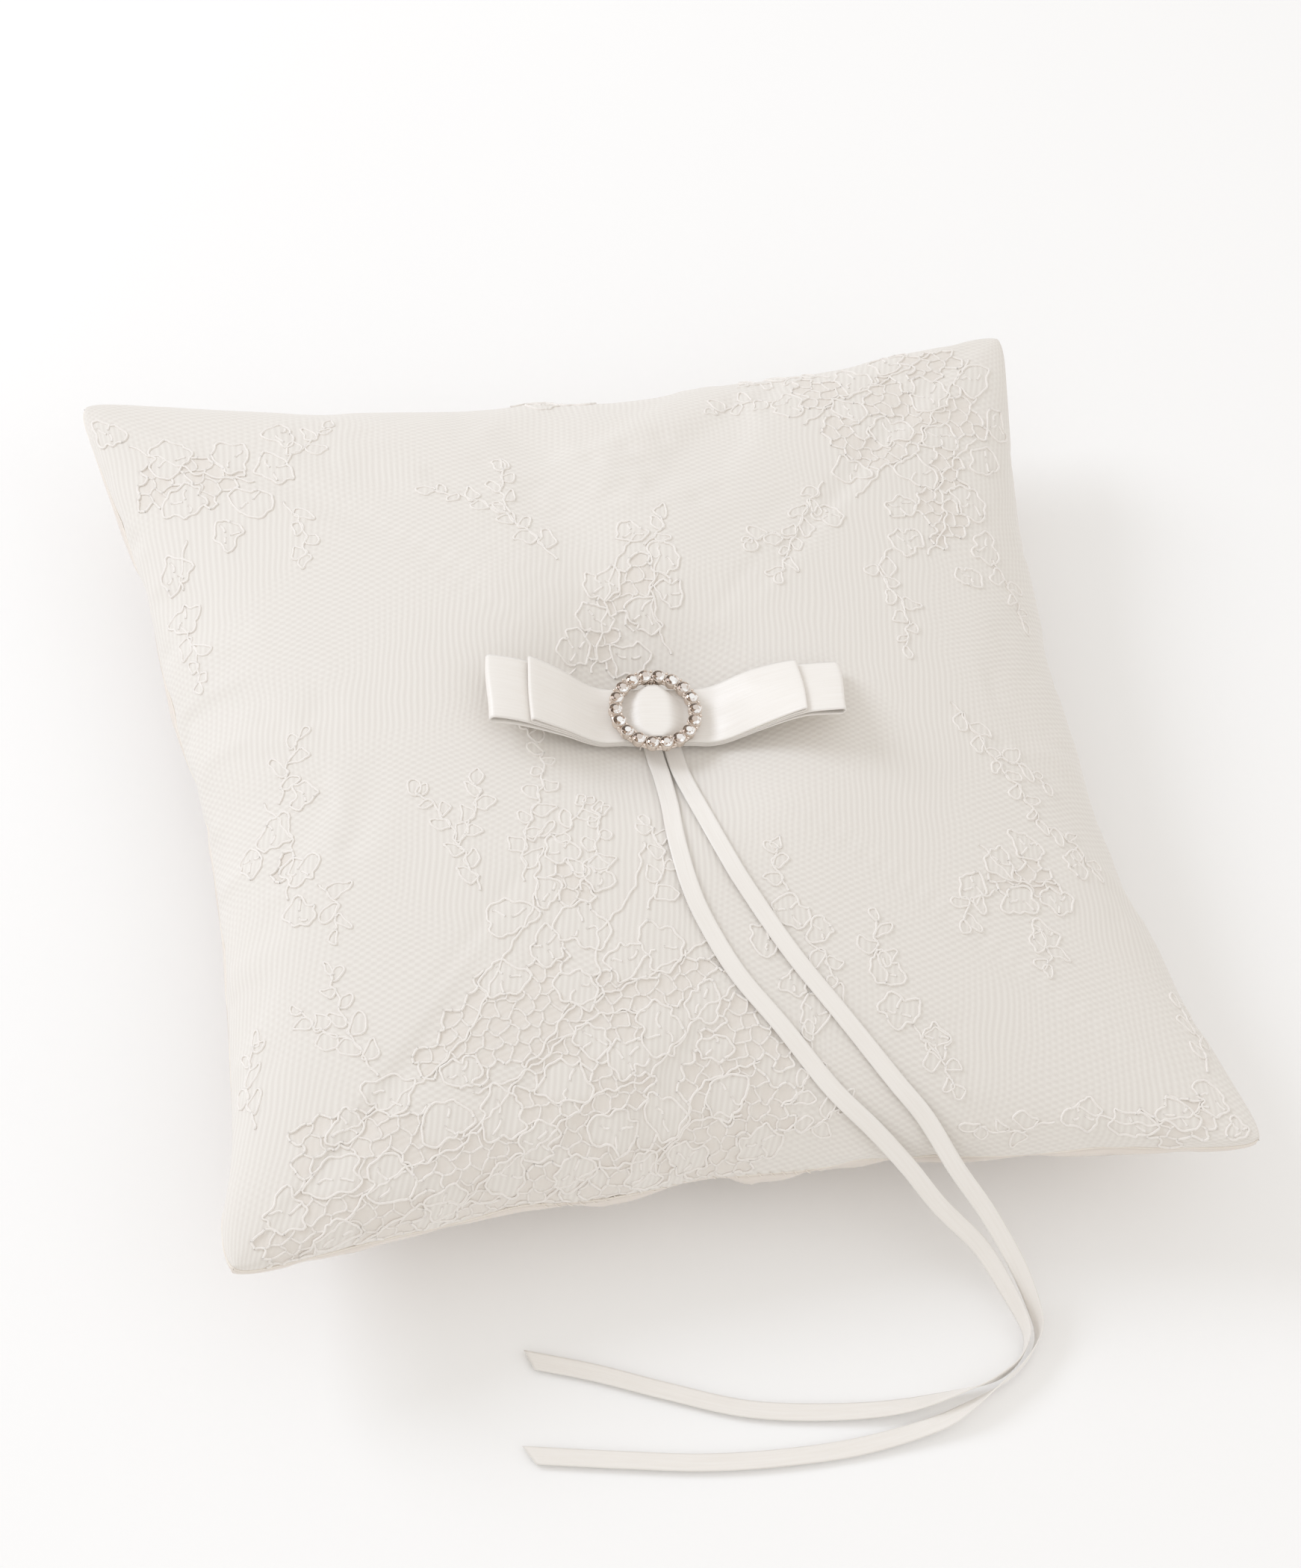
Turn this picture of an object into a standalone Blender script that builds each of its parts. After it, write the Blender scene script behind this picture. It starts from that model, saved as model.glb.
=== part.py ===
"""Ring bearer pillow: a square satin cushion with a lace front, a flat two-layer satin bow
threaded through a round rhinestone buckle, and two narrow satin streamers for the rings.

The pillow lies on a table at z = 0 with its lace front up. X runs along the bow, +Y is the
far edge of the pillow, and the origin is under the middle of the pillow. Metres throughout.
"""
import math

import bmesh
import bpy
import numpy as np
from mathutils import Matrix, Vector
from mathutils.bvhtree import BVHTree

# ---- driving sizes of the pillow -------------------------------------------------------
HALF_SIDE = 0.100          # seam corner to pillow middle, along X or Y
PULL_LEFT = 0.0123         # how far the filling draws each side in at its middle
PULL_RIGHT = 0.0115
PULL_FAR = 0.0058
PULL_NEAR = 0.0122
CROWN = 0.0270             # lace front above the seam, before the bow is stitched down
SEAM_MID = 0.0199          # height of the seam at the middle of each side
SEAM_CORNER = 0.0288       # the corners lift off the table
BELLY_DROP = 0.0030        # how much flatter the table presses the back panel
CORNER_RELIEF = 2.6        # how much further inner layers keep back in the corners
GRID = 20                  # cushion faces along each side
FINE_SHARE = 0.58          # spacing of the faces near the bow and the rim, 1 is even
COARSE_FROM = 0.42         # between these shares of a half side the faces are longer
COARSE_TO = 0.90

# ---- layers of the pillow, from the outside in -----------------------------------------
LACE_THICKNESS = 0.0004
PANEL_THICKNESS = 0.0005
CLEARANCE = 0.0003         # between neighbouring pieces
THREAD_RADIUS = 0.0002     # sewing thread

# ---- bow -------------------------------------------------------------------------------
BOW_X = -0.0005
BOW_Y = 0.0032
BOW_TURN = math.radians(-6.3)
DIMPLE_DEPTH = 0.0096      # the bow's stitches pull the front down
DIMPLE_FLOOR = 0.0085      # radius of the dimple's flat floor, under the buckle
DIMPLE_SLOPE = 0.0110      # how gently the front rises around it
BOW_RIBBON_WIDTH = 0.0150
BOW_WAIST_WIDTH = 0.0092   # the ribbon gathered where it passes the buckle
WAIST_HALF_LENGTH = 0.0045
WAIST_TAPER_END = 0.0130
BOW_RIBBON_THICKNESS = 0.0003
BOW_SHIFT = 0.0010         # the loops' middle lies a little right of the buckle
LONG_LOOP_LENGTH = 0.0708
SHORT_LOOP_LENGTH = 0.0531
LONG_LOOP_OPENING = 0.00245
SHORT_LOOP_OPENING = 0.0013
LOOP_GROUNDING = 0.0004    # how much nearer the lace the long loop's ends lie
LOOP_OPENING_EASE = 1.3    # above 1 a loop opens later along its length
LOOP_STEPS = 26            # rows of faces along each layer of a loop
LOOP_FINE_SHARE = 0.35     # spacing of those rows at the middle of the bow, 1 is even
FOLD_STEPS = 5             # rows of faces round each end of a loop
ARCH_HALF_LENGTH = 0.0050

# ---- streamers -------------------------------------------------------------------------
STREAMER_WIDTH = 0.0035
STREAMER_THICKNESS = 0.0004
STREAMER_STEP = 0.0045     # spacing of the points along the ribbon
ROUTE_FINENESS = 24        # steps between two of a route's own points, before spacing
FLAT_TILT = 90.0           # turns the curve's width from upright to level
STITCH_FROM_START = 0.0016  # the stitch crosses the streamers this far from their ends
STITCH_SLACK = 0.0003

# ---- buckle ----------------------------------------------------------------------------
STONE_COUNT = 18
STONE_RADIUS = 0.0011
STONE_CLEARANCE = 0.0001
CUP_WALL = 0.00015
CUP_HEIGHT = 0.0018
CUP_SIDES = 12
STONE_SIDES = 8
SEAT_DEPTH = 0.0009
STONE_PROUD = 0.00035      # crown of a stone above its cup
STONE_POINT_SHARE = 0.30   # widths of a stone's underside and table, as shares
STONE_TABLE_SHARE = 0.56
GIRDLE_HEIGHT = 0.0001
CUP_GAP = 0.00004          # between neighbouring cups, which the ring joins below
RING_HALF_WIDTH = 0.0009
RING_HEIGHT = 0.0010
RING_SIDES = 36
BAR_WIDTH = 0.0010
BAR_HEIGHT = 0.0016
BAR_SIDES = 12
BAR_BITE = 0.0004          # how far the bar's ends run into the ring
RING_LIFT = 0.0013         # underside of the ring above the ribbon that passes below it
LOOP_MARGIN = 0.0013       # the loops lie flat this far past the buckle
CUTTER_OVERRUN = 0.0010    # a cutting shape runs this far past what it cuts

SEAT_RADIUS = STONE_RADIUS + STONE_CLEARANCE
CUP_RADIUS = SEAT_RADIUS + CUP_WALL
STONE_PITCH_RADIUS = (2 * CUP_RADIUS + CUP_GAP) * STONE_COUNT / (2 * math.pi)
BUCKLE_REACH = STONE_PITCH_RADIUS + CUP_RADIUS + LOOP_MARGIN

# ---- heights of the bow's layers above the lace at the bow's middle ----------------------
LAYER_STEP = BOW_RIBBON_THICKNESS + CLEARANCE
LONG_LOWER = CLEARANCE + STREAMER_THICKNESS + CLEARANCE + BOW_RIBBON_THICKNESS / 2
LONG_UPPER = LONG_LOWER + LAYER_STEP
SHORT_LOWER = LONG_UPPER + LAYER_STEP
SHORT_UPPER = SHORT_LOWER + LAYER_STEP
BAR_BOTTOM = SHORT_LOWER + BOW_RIBBON_THICKNESS / 2 + CLEARANCE
BAR_MIDDLE = BAR_BOTTOM + BAR_HEIGHT / 2
ARCH_HEIGHT = (BAR_BOTTOM + BAR_HEIGHT + CLEARANCE + BOW_RIBBON_THICKNESS / 2) - SHORT_UPPER
RING_BOTTOM = SHORT_LOWER + BOW_RIBBON_THICKNESS / 2 + RING_LIFT

# Streamer routes, from under the bow, down over the near edge and back along the table.
# Each point is x, y, z and the ribbon's roll in degrees about its own length: 0 lies flat,
# and a positive roll lowers its right-hand edge, to 90 where it stands on edge.
STREAMER_LEFT_ROUTE = (
    (-0.0017, -0.0010, 0.03781, 0), (-0.0016, -0.0055, 0.03785, 0),
    (-0.0015, -0.0094, 0.03860, 0), (-0.0019, -0.0139, 0.04035, 0),
    (-0.0026, -0.0195, 0.04290, 0), (-0.0034, -0.0250, 0.04475, 0),
    (-0.0037, -0.0302, 0.04550, 0), (-0.0033, -0.0388, 0.04525, 1),
    (-0.0017, -0.0463, 0.04425, 3), (0.0023, -0.0568, 0.04220, 6),
    (0.0094, -0.0680, 0.03905, 10), (0.0169, -0.0789, 0.03410, 20),
    (0.0244, -0.0860, 0.02905, 34), (0.0311, -0.0919, 0.02300, 44),
    (0.0372, -0.0976, 0.01650, 45), (0.0449, -0.1037, 0.01000, 46),
    (0.0493, -0.1112, 0.00560, 56), (0.0518, -0.1177, 0.00290, 74),
    (0.0512, -0.1214, 0.00220, 86), (0.0485, -0.1248, 0.00215, 90),
    (0.0443, -0.1272, 0.00215, 88), (0.0385, -0.1286, 0.00205, 66),
    (0.0245, -0.1299, 0.00100, 18), (0.0096, -0.1287, 0.00055, 0),
    (-0.0049, -0.1258, 0.00050, 0), (-0.0188, -0.1202, 0.00050, 0),
    (-0.0312, -0.1147, 0.00050, 0), (-0.0430, -0.1103, 0.00050, 0))
STREAMER_RIGHT_ROUTE = (
    (0.0023, -0.0010, 0.03781, 0), (0.0023, -0.0050, 0.03782, 0),
    (0.0024, -0.0090, 0.03850, 2), (0.0026, -0.0139, 0.04040, 3),
    (0.0028, -0.0189, 0.04272, 2), (0.0035, -0.0255, 0.04490, 0),
    (0.0051, -0.0330, 0.04560, 0), (0.0073, -0.0399, 0.04510, 2),
    (0.0135, -0.0541, 0.04270, 4), (0.0217, -0.0678, 0.03900, 9),
    (0.0291, -0.0789, 0.03435, 17), (0.0345, -0.0855, 0.03010, 32),
    (0.0399, -0.0933, 0.02350, 43), (0.0459, -0.1001, 0.01650, 45),
    (0.0514, -0.1082, 0.00900, 48), (0.0539, -0.1155, 0.00460, 64),
    (0.0541, -0.1195, 0.00270, 78), (0.0522, -0.1227, 0.00220, 88),
    (0.0490, -0.1258, 0.00215, 90), (0.0447, -0.1284, 0.00215, 84),
    (0.0377, -0.1318, 0.00180, 50), (0.0303, -0.1343, 0.00100, 16),
    (0.0153, -0.1364, 0.00055, 0), (0.0001, -0.1365, 0.00050, 0),
    (-0.0146, -0.1353, 0.00050, 0), (-0.0290, -0.1327, 0.00050, 0),
    (-0.0467, -0.1291, 0.00050, 0))

# Colours: name, linear red, green, blue, roughness, metallic, transmission
FINISHES = {
    "ivory_satin": (0.80, 0.76, 0.70, 0.45, 0.0, 0.0),
    "corded_lace": (0.85, 0.81, 0.75, 0.80, 0.0, 0.0),
    "polyester_fibre": (0.90, 0.90, 0.90, 1.00, 0.0, 0.0),
    "satin_ribbon": (0.88, 0.84, 0.78, 0.35, 0.0, 0.0),
    "sewing_thread": (0.86, 0.83, 0.77, 0.70, 0.0, 0.0),
    "silver_plate": (0.78, 0.73, 0.68, 0.20, 1.0, 0.0),
    "cut_glass": (0.95, 0.95, 0.95, 0.02, 0.0, 1.0),
}


def clear_scene():
    """Empty the scene before the pillow is built."""
    for old in list(bpy.data.objects):
        bpy.data.objects.remove(old, do_unlink=True)


def make_collection(name):
    collection = bpy.data.collections.new(name)
    bpy.context.scene.collection.children.link(collection)
    return collection


def make_material(piece_name, finish):
    red, green, blue, roughness, metallic, transmission = FINISHES[finish]
    material = bpy.data.materials.new(piece_name + "_" + finish)
    material.use_nodes = True
    shader = material.node_tree.nodes["Principled BSDF"]
    shader.inputs["Base Color"].default_value = (red, green, blue, 1.0)
    shader.inputs["Roughness"].default_value = roughness
    shader.inputs["Metallic"].default_value = metallic
    shader.inputs["Transmission Weight"].default_value = transmission
    material.diffuse_color = (red, green, blue, 1.0)
    return material


def add_object(name, data, collection, finish=None):
    """Link new data as an object, with its own material when it is a piece."""
    obj = bpy.data.objects.new(name, data)
    collection.objects.link(obj)
    if finish:
        data.materials.append(make_material(name, finish))
    return obj


def mesh_from(name, bm, smooth_angle=math.radians(40)):
    mesh = bpy.data.meshes.new(name)
    bm.to_mesh(mesh)
    bm.free()
    mesh.shade_smooth()
    mesh.set_sharp_from_angle(angle=smooth_angle)
    return mesh


def face_outwards(bm):
    """Turn every face of a closed form outwards, a thin shell's too."""
    bmesh.ops.recalc_face_normals(bm, faces=bm.faces)
    if bm.calc_volume(signed=True) < 0:
        bmesh.ops.reverse_faces(bm, faces=bm.faces)


# ---- the cushion's form ----------------------------------------------------------------
def smoothstep(t):
    t = min(1.0, max(0.0, t))
    return t * t * (3 - 2 * t)


def crowd(s):
    """Grid position -1..1 moved so that faces crowd around the bow and at the rim."""
    coarse = smoothstep((abs(s) - COARSE_FROM) / (COARSE_TO - COARSE_FROM))
    return math.copysign(FINE_SHARE * abs(s) + (1 - FINE_SHARE) * coarse, s)


def corner_inset(u, v, inset):
    """What lies inside the cushion keeps further back in its corners."""
    return inset * (1 + CORNER_RELIEF * (u * v) ** 8)


def outline_point(u, v, inset):
    """Plan of the cushion: a square whose sides are drawn in between its corners."""
    inset = corner_inset(u, v, inset)
    pull_x = PULL_LEFT if u < 0 else PULL_RIGHT
    pull_y = PULL_NEAR if v < 0 else PULL_FAR
    x = u * (HALF_SIDE - inset - pull_x * (1 - v * v) * u * u)
    y = v * (HALF_SIDE - inset - pull_y * (1 - u * u) * v * v)
    return x, y


def seam_height(u, v, inset):
    """Height of the seam's plane, which bends up to the corners."""
    nearness = (1 - corner_inset(u, v, inset) / HALF_SIDE) ** 4 * u * u * v * v
    return SEAM_MID + (SEAM_CORNER - SEAM_MID) * nearness


def fullness(u, v):
    """0 along the seam, 1 at the middle, upright where it leaves the seam."""
    return math.sqrt(max(0.0, (1 - u * u) * (1 - v * v)))


def dimple(x, y):
    """How far the bow's stitches pull the front down at a point."""
    beyond = max(0.0, math.hypot(x - BOW_X, y - BOW_Y) - DIMPLE_FLOOR) / DIMPLE_SLOPE
    return DIMPLE_DEPTH * math.exp(-0.5 * beyond * beyond)


def front_point(u, v, side_inset, depth):
    """Point on the front half: side_inset in from the seam, depth below the lace."""
    x, y = outline_point(u, v, side_inset)
    rise = (CROWN - depth - CLEARANCE / 2) * fullness(u, v)
    seam = seam_height(u, v, side_inset) + CLEARANCE / 2
    return Vector((x, y, seam + rise - dimple(x, y)))


def back_point(u, v, side_inset, depth):
    """Point on the back half, which the table flattens: depth inside the back's face."""
    x, y = outline_point(u, v, side_inset)
    fall = (SEAM_MID + BELLY_DROP - depth) * fullness(u, v)
    seam = seam_height(u, v, side_inset) - CLEARANCE / 2
    return Vector((x, y, max(seam - fall, depth)))


def cushion_sheet(bm, point, side_inset, depth, turned=False):
    """Add one half of the cushion as a grid of faces, and return its rim's edges.

    Two sheets that are bridged face opposite ways, so one of each pair is turned.
    """
    made = bmesh.ops.create_grid(bm, x_segments=GRID, y_segments=GRID, size=1.0)
    verts = made["verts"]
    for vert in verts:
        u = crowd(vert.co.x)
        v = crowd(vert.co.y)
        vert.co = point(u, v, side_inset, depth)
    if turned:
        faces = {face for vert in verts for face in vert.link_faces}
        bmesh.ops.reverse_faces(bm, faces=list(faces))
    edges = {edge for vert in verts for edge in vert.link_edges}
    return [edge for edge in edges if edge.is_boundary]


def add_panel(name, finish, collection, point, outer_inset, outer_depth, thickness):
    """A sewn panel: an outer and an inner sheet joined by a rim along the seam."""
    bm = bmesh.new()
    outer = cushion_sheet(bm, point, outer_inset, outer_depth)
    inner = cushion_sheet(bm, point, outer_inset + thickness, outer_depth + thickness, True)
    bmesh.ops.bridge_loops(bm, edges=outer + inner)
    face_outwards(bm)
    return add_object(name, mesh_from(name, bm), collection, finish)


def height_reader(piece):
    """A function that gives the height of a piece's upper face over a point."""
    mesh = piece.data
    corners = [vert.co for vert in mesh.vertices]
    tree = BVHTree.FromPolygons(corners, [tuple(face.vertices) for face in mesh.polygons])

    def height(x, y):
        return tree.ray_cast(Vector((x, y, 1.0)), Vector((0.0, 0.0, -1.0)))[0].z
    return height


def add_filling(name, collection, side_inset, front_depth, back_depth):
    """The wad of fibre: a front and a back sheet welded along the seam line."""
    bm = bmesh.new()
    front = cushion_sheet(bm, front_point, side_inset, front_depth)
    back = cushion_sheet(bm, back_point, side_inset, back_depth, True)
    bmesh.ops.bridge_loops(bm, edges=front + back)
    face_outwards(bm)
    return add_object(name, mesh_from(name, bm), collection, "polyester_fibre")


# ---- threads and streamers -------------------------------------------------------------
def add_tube(name, points, radius, collection, finish, closed=False, resolution=0):
    """A round thread along a polyline."""
    curve = bpy.data.curves.new(name, "CURVE")
    curve.dimensions = "3D"
    curve.bevel_depth = radius
    curve.bevel_resolution = resolution
    curve.use_fill_caps = not closed
    spline = curve.splines.new("POLY")
    spline.points.add(len(points) - 1)
    for spot, point in zip(spline.points, points):
        spot.co = (*point, 1.0)
    spline.use_cyclic_u = closed
    return add_object(name, curve, collection, finish)


def add_seam_thread(collection, side_inset):
    """The line of machine stitches that joins the panels all round the pillow."""
    steps = [crowd(-1 + 2 * i / GRID) for i in range(GRID)]
    rim = [(s, -1) for s in steps] + [(1, s) for s in steps]
    rim += [(-s, 1) for s in steps] + [(-1, -s) for s in steps]
    points = [(*outline_point(u, v, side_inset), seam_height(u, v, side_inset))
              for u, v in rim]
    return add_tube("seam_thread", points, THREAD_RADIUS, collection, "sewing_thread", True)


def add_closing_thread(collection, side_inset, first=-0.45, last=0.15, count=14):
    """The slip stitches that close the near side after the filling goes in."""
    spots = [first + (last - first) * i / (count - 1) for i in range(count)]
    points = [(*outline_point(u, -1, side_inset), seam_height(u, -1, side_inset))
              for u in spots]
    return add_tube("closing_thread", points, THREAD_RADIUS, collection, "sewing_thread")


def smooth_route(route, step):
    """Points a step apart on a Catmull-Rom curve through the route's own points."""
    knots = [Vector(point) for point in route]
    knots = [2 * knots[0] - knots[1]] + knots + [2 * knots[-1] - knots[-2]]
    fine = []
    for a, b, c, d in zip(knots, knots[1:], knots[2:], knots[3:]):
        for i in range(ROUTE_FINENESS):
            t = i / ROUTE_FINENESS
            fine.append(0.5 * (2 * b + (c - a) * t + (2 * a - 5 * b + 4 * c - d) * t * t
                               + (3 * b - a - 3 * c + d) * t ** 3))
    fine.append(knots[-2])
    lengths = np.cumsum([0.0] + [(q.xyz - p.xyz).length for p, q in zip(fine, fine[1:])])
    count = max(2, round(lengths[-1] / step) + 1)
    places = np.linspace(0.0, lengths[-1], count)
    columns = np.array([tuple(point) for point in fine]).T
    return np.array([np.interp(places, lengths, column) for column in columns]).T


def add_streamer(name, route, collection):
    """A flat satin ribbon: a curve drawn out to the ribbon's width, with round edges."""
    points = smooth_route([Vector(point) for point in route], STREAMER_STEP)
    curve = bpy.data.curves.new(name, "CURVE")
    curve.dimensions = "3D"
    curve.twist_mode = "Z_UP"
    curve.bevel_depth = STREAMER_THICKNESS / 2
    curve.bevel_resolution = 0
    curve.extrude = STREAMER_WIDTH / 2 - STREAMER_THICKNESS / 2
    curve.use_fill_caps = True
    spline = curve.splines.new("POLY")
    spline.points.add(len(points) - 1)
    for spot, (x, y, z, roll) in zip(spline.points, points):
        spot.co = (x, y, z, 1.0)
        spot.tilt = math.radians(FLAT_TILT + roll)
    return add_object(name, curve, collection, "satin_ribbon")


def add_streamer_stitch(collection, lace_height):
    """A staple of thread over both streamers, just below the bow's waist."""
    left_x, left_y, left_z, _ = STREAMER_LEFT_ROUTE[0]
    right_x, _, _, _ = STREAMER_RIGHT_ROUTE[0]
    side = STREAMER_WIDTH / 2 + CLEARANCE + THREAD_RADIUS
    y = left_y - STITCH_FROM_START
    foot = THREAD_RADIUS + CLEARANCE
    top = left_z + STREAMER_THICKNESS / 2 + CLEARANCE + THREAD_RADIUS + STITCH_SLACK
    left = left_x - side
    right = right_x + side
    points = [(left, y, lace_height(left, y) + foot), (left, y, top),
              (right, y, top), (right, y, lace_height(right, y) + foot)]
    return add_tube("streamer_stitch", points, THREAD_RADIUS, collection, "sewing_thread")


# ---- bow -------------------------------------------------------------------------------
def bow_matrix(height):
    """Place of the bow's own frame: s along the ribbon, w across it."""
    return Matrix.Translation((BOW_X, BOW_Y, height)) @ Matrix.Rotation(BOW_TURN, 4, "Z")


def ribbon_half_width(s):
    """Half of the ribbon's width: gathered at the waist, full further out."""
    taper = smoothstep((abs(s) - WAIST_HALF_LENGTH) / (WAIST_TAPER_END - WAIST_HALF_LENGTH))
    return (BOW_WAIST_WIDTH + (BOW_RIBBON_WIDTH - BOW_WAIST_WIDTH) * taper) / 2


def arch(s):
    """Rise of the short loop's top layer over the buckle's bar."""
    if abs(s) >= ARCH_HALF_LENGTH:
        return 0.0
    return ARCH_HEIGHT * 0.5 * (1 + math.cos(math.pi * s / ARCH_HALF_LENGTH))


def loop_opening_share(s, reach):
    """0 where a loop lies flat under the buckle, 1 where it folds back at its end."""
    return (max(0.0, abs(s) - BUCKLE_REACH) / (reach - BUCKLE_REACH)) ** LOOP_OPENING_EASE


def loop_profile(length, lower, upper, opening, grounding, arched):
    """Side view of a flattened loop as s and height above the lace, all the way round."""
    fold = opening / 2
    reach = length / 2 - fold
    middle = lower - grounding + fold
    layers = []
    for i in range(LOOP_STEPS + 1):
        share = 2 * i / LOOP_STEPS - 1
        s = reach * share * (LOOP_FINE_SHARE + (1 - LOOP_FINE_SHARE) * share * share)
        out = loop_opening_share(s, reach)
        low = lower - grounding * out
        high = upper + (lower - grounding + opening - upper) * out
        layers.append((s + BOW_SHIFT, low, high))
    folds = []
    for i in range(1, FOLD_STEPS):
        angle = math.pi * i / FOLD_STEPS
        folds.append((reach + fold * math.sin(angle), fold * math.cos(angle)))
    profile = [(s, low, 0.0) for s, low, _ in layers]
    profile += [(BOW_SHIFT + s, middle - rise, 0.0) for s, rise in folds]
    profile += [(s, high, arch(s) if arched else 0.0) for s, _, high in reversed(layers)]
    profile += [(BOW_SHIFT - s, middle + rise, 0.0) for s, rise in folds]
    return profile


def add_loop(name, collection, lace_height, profile, columns=3):
    """A loop of satin ribbon: a closed band with Solidify for the ribbon's thickness."""
    bm = bmesh.new()
    place = bow_matrix(0.0)
    rows = []
    for s, height, rise in profile:
        row = []
        middle = place @ Vector((s, 0.0, 0.0))
        level = lace_height(middle.x, middle.y) + height + rise
        for j in range(columns + 1):
            w = ribbon_half_width(s) * (2 * j / columns - 1)
            spot = place @ Vector((s, w, 0.0))
            spot.z = level
            row.append(bm.verts.new(spot))
        rows.append(row)
    for row, after in zip(rows, rows[1:] + rows[:1]):
        for j in range(columns):
            bm.faces.new((row[j], row[j + 1], after[j + 1], after[j]))
    bmesh.ops.recalc_face_normals(bm, faces=bm.faces)
    loop = add_object(name, mesh_from(name, bm), collection, "satin_ribbon")
    wall = loop.modifiers.new("ribbon_thickness", "SOLIDIFY")
    wall.thickness = BOW_RIBBON_THICKNESS
    wall.offset = 0.0
    return loop


# ---- buckle ----------------------------------------------------------------------------
def add_cylinder(name, radius, height, sides, collection, finish=None):
    """A cylinder standing on its own origin."""
    bm = bmesh.new()
    bmesh.ops.create_cone(bm, cap_ends=True, segments=sides, radius1=radius,
                          radius2=radius, depth=height)
    bmesh.ops.translate(bm, verts=bm.verts, vec=(0.0, 0.0, height / 2))
    return add_object(name, mesh_from(name, bm), collection, finish)


def hide_tool(obj):
    """Mark a shape that only cuts or builds up another piece."""
    obj.hide_render = True
    obj.display_type = "WIRE"
    return obj


def join_or_cut(target, tool, operation):
    step = target.modifiers.new(tool.name, "BOOLEAN")
    step.operation = operation
    step.solver = "EXACT"
    step.object = tool


def stone_place(i):
    """Middle of a stone on the pitch circle; the first ones sit each side of the bar."""
    angle = 2 * math.pi * (i + 0.5) / STONE_COUNT + math.pi / 2
    return STONE_PITCH_RADIUS * math.cos(angle), STONE_PITCH_RADIUS * math.sin(angle), angle


def add_frame(collection, tools, pivot):
    """Cast ring of round cups with a bar across it, in the pivot's own frame."""
    base = RING_BOTTOM - BAR_MIDDLE
    outer = STONE_PITCH_RADIUS + RING_HALF_WIDTH
    inner = STONE_PITCH_RADIUS - RING_HALF_WIDTH
    frame = add_cylinder("buckle_frame", outer, RING_HEIGHT, RING_SIDES, collection,
                         "silver_plate")
    frame.parent = pivot
    frame.location = (0.0, 0.0, base)
    hole = hide_tool(add_cylinder("ring_hole", inner, RING_HEIGHT + 2 * CUTTER_OVERRUN,
                                  RING_SIDES, tools))
    hole.parent = pivot
    hole.location = (0.0, 0.0, base - CUTTER_OVERRUN)
    join_or_cut(frame, hole, "DIFFERENCE")
    bar = hide_tool(add_cylinder("bar_stock", BAR_WIDTH / 2, 2 * (inner + BAR_BITE),
                                 BAR_SIDES, tools))
    bar.data.transform(Matrix.Rotation(math.radians(-90), 4, "X"))
    bar.data.transform(Matrix.Scale(BAR_HEIGHT / BAR_WIDTH, 4, (0.0, 0.0, 1.0)))
    bar.parent = pivot
    bar.location = (0.0, -inner - BAR_BITE, 0.0)
    join_or_cut(frame, bar, "UNION")
    for i in range(STONE_COUNT):
        x, y, angle = stone_place(i)
        cup_name = "cup_stock_%02d" % (i + 1)
        cup = hide_tool(add_cylinder(cup_name, CUP_RADIUS, CUP_HEIGHT, CUP_SIDES, tools))
        cup.parent = pivot
        cup.location = (x, y, base)
        cup.rotation_euler.z = angle
        join_or_cut(frame, cup, "UNION")
    for i in range(STONE_COUNT):
        x, y, angle = stone_place(i)
        seat_name = "seat_cutter_%02d" % (i + 1)
        seat = hide_tool(add_cylinder(seat_name, SEAT_RADIUS, SEAT_DEPTH + CUTTER_OVERRUN,
                                      CUP_SIDES, tools))
        seat.parent = pivot
        seat.location = (x, y, base + CUP_HEIGHT - SEAT_DEPTH)
        seat.rotation_euler.z = angle
        join_or_cut(frame, seat, "DIFFERENCE")
    return frame


def stone_mesh():
    """A round-cut stone: flat table, sloping crown, short girdle and pointed underside."""
    rings = ((STONE_POINT_SHARE, STONE_CLEARANCE), (1.0, SEAT_DEPTH - GIRDLE_HEIGHT),
             (1.0, SEAT_DEPTH), (STONE_TABLE_SHARE, SEAT_DEPTH + STONE_PROUD))
    bm = bmesh.new()
    loops = []
    for share, height in rings:
        loop = []
        for k in range(STONE_SIDES):
            angle = 2 * math.pi * k / STONE_SIDES
            radius = share * STONE_RADIUS
            loop.append(bm.verts.new((radius * math.cos(angle), radius * math.sin(angle),
                                      height)))
        loops.append(loop)
    for low, high in zip(loops, loops[1:]):
        for k in range(STONE_SIDES):
            after = (k + 1) % STONE_SIDES
            bm.faces.new((low[k], low[after], high[after], high[k]))
    bm.faces.new(list(reversed(loops[0])))
    bm.faces.new(loops[-1])
    face_outwards(bm)
    return mesh_from("round_cut_stone", bm, math.radians(5))


def add_stones(collection, pivot):
    """One stone in each cup; they share one mesh."""
    mesh = stone_mesh()
    mesh.materials.append(make_material("rhinestone", "cut_glass"))
    for i in range(STONE_COUNT):
        x, y, angle = stone_place(i)
        stone = bpy.data.objects.new("rhinestone_%02d" % (i + 1), mesh)
        collection.objects.link(stone)
        stone.parent = pivot
        stone.location = (x, y, RING_BOTTOM - BAR_MIDDLE + CUP_HEIGHT - SEAT_DEPTH)
        stone.rotation_euler.z = angle


def add_pivot(collection, lace_height):
    """The buckle rocks about its bar: an empty on the bar's axis carries the buckle."""
    pivot = bpy.data.objects.new("buckle_pivot", None)
    collection.objects.link(pivot)
    pivot.matrix_world = bow_matrix(lace_height(BOW_X, BOW_Y) + BAR_MIDDLE)
    return pivot


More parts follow.
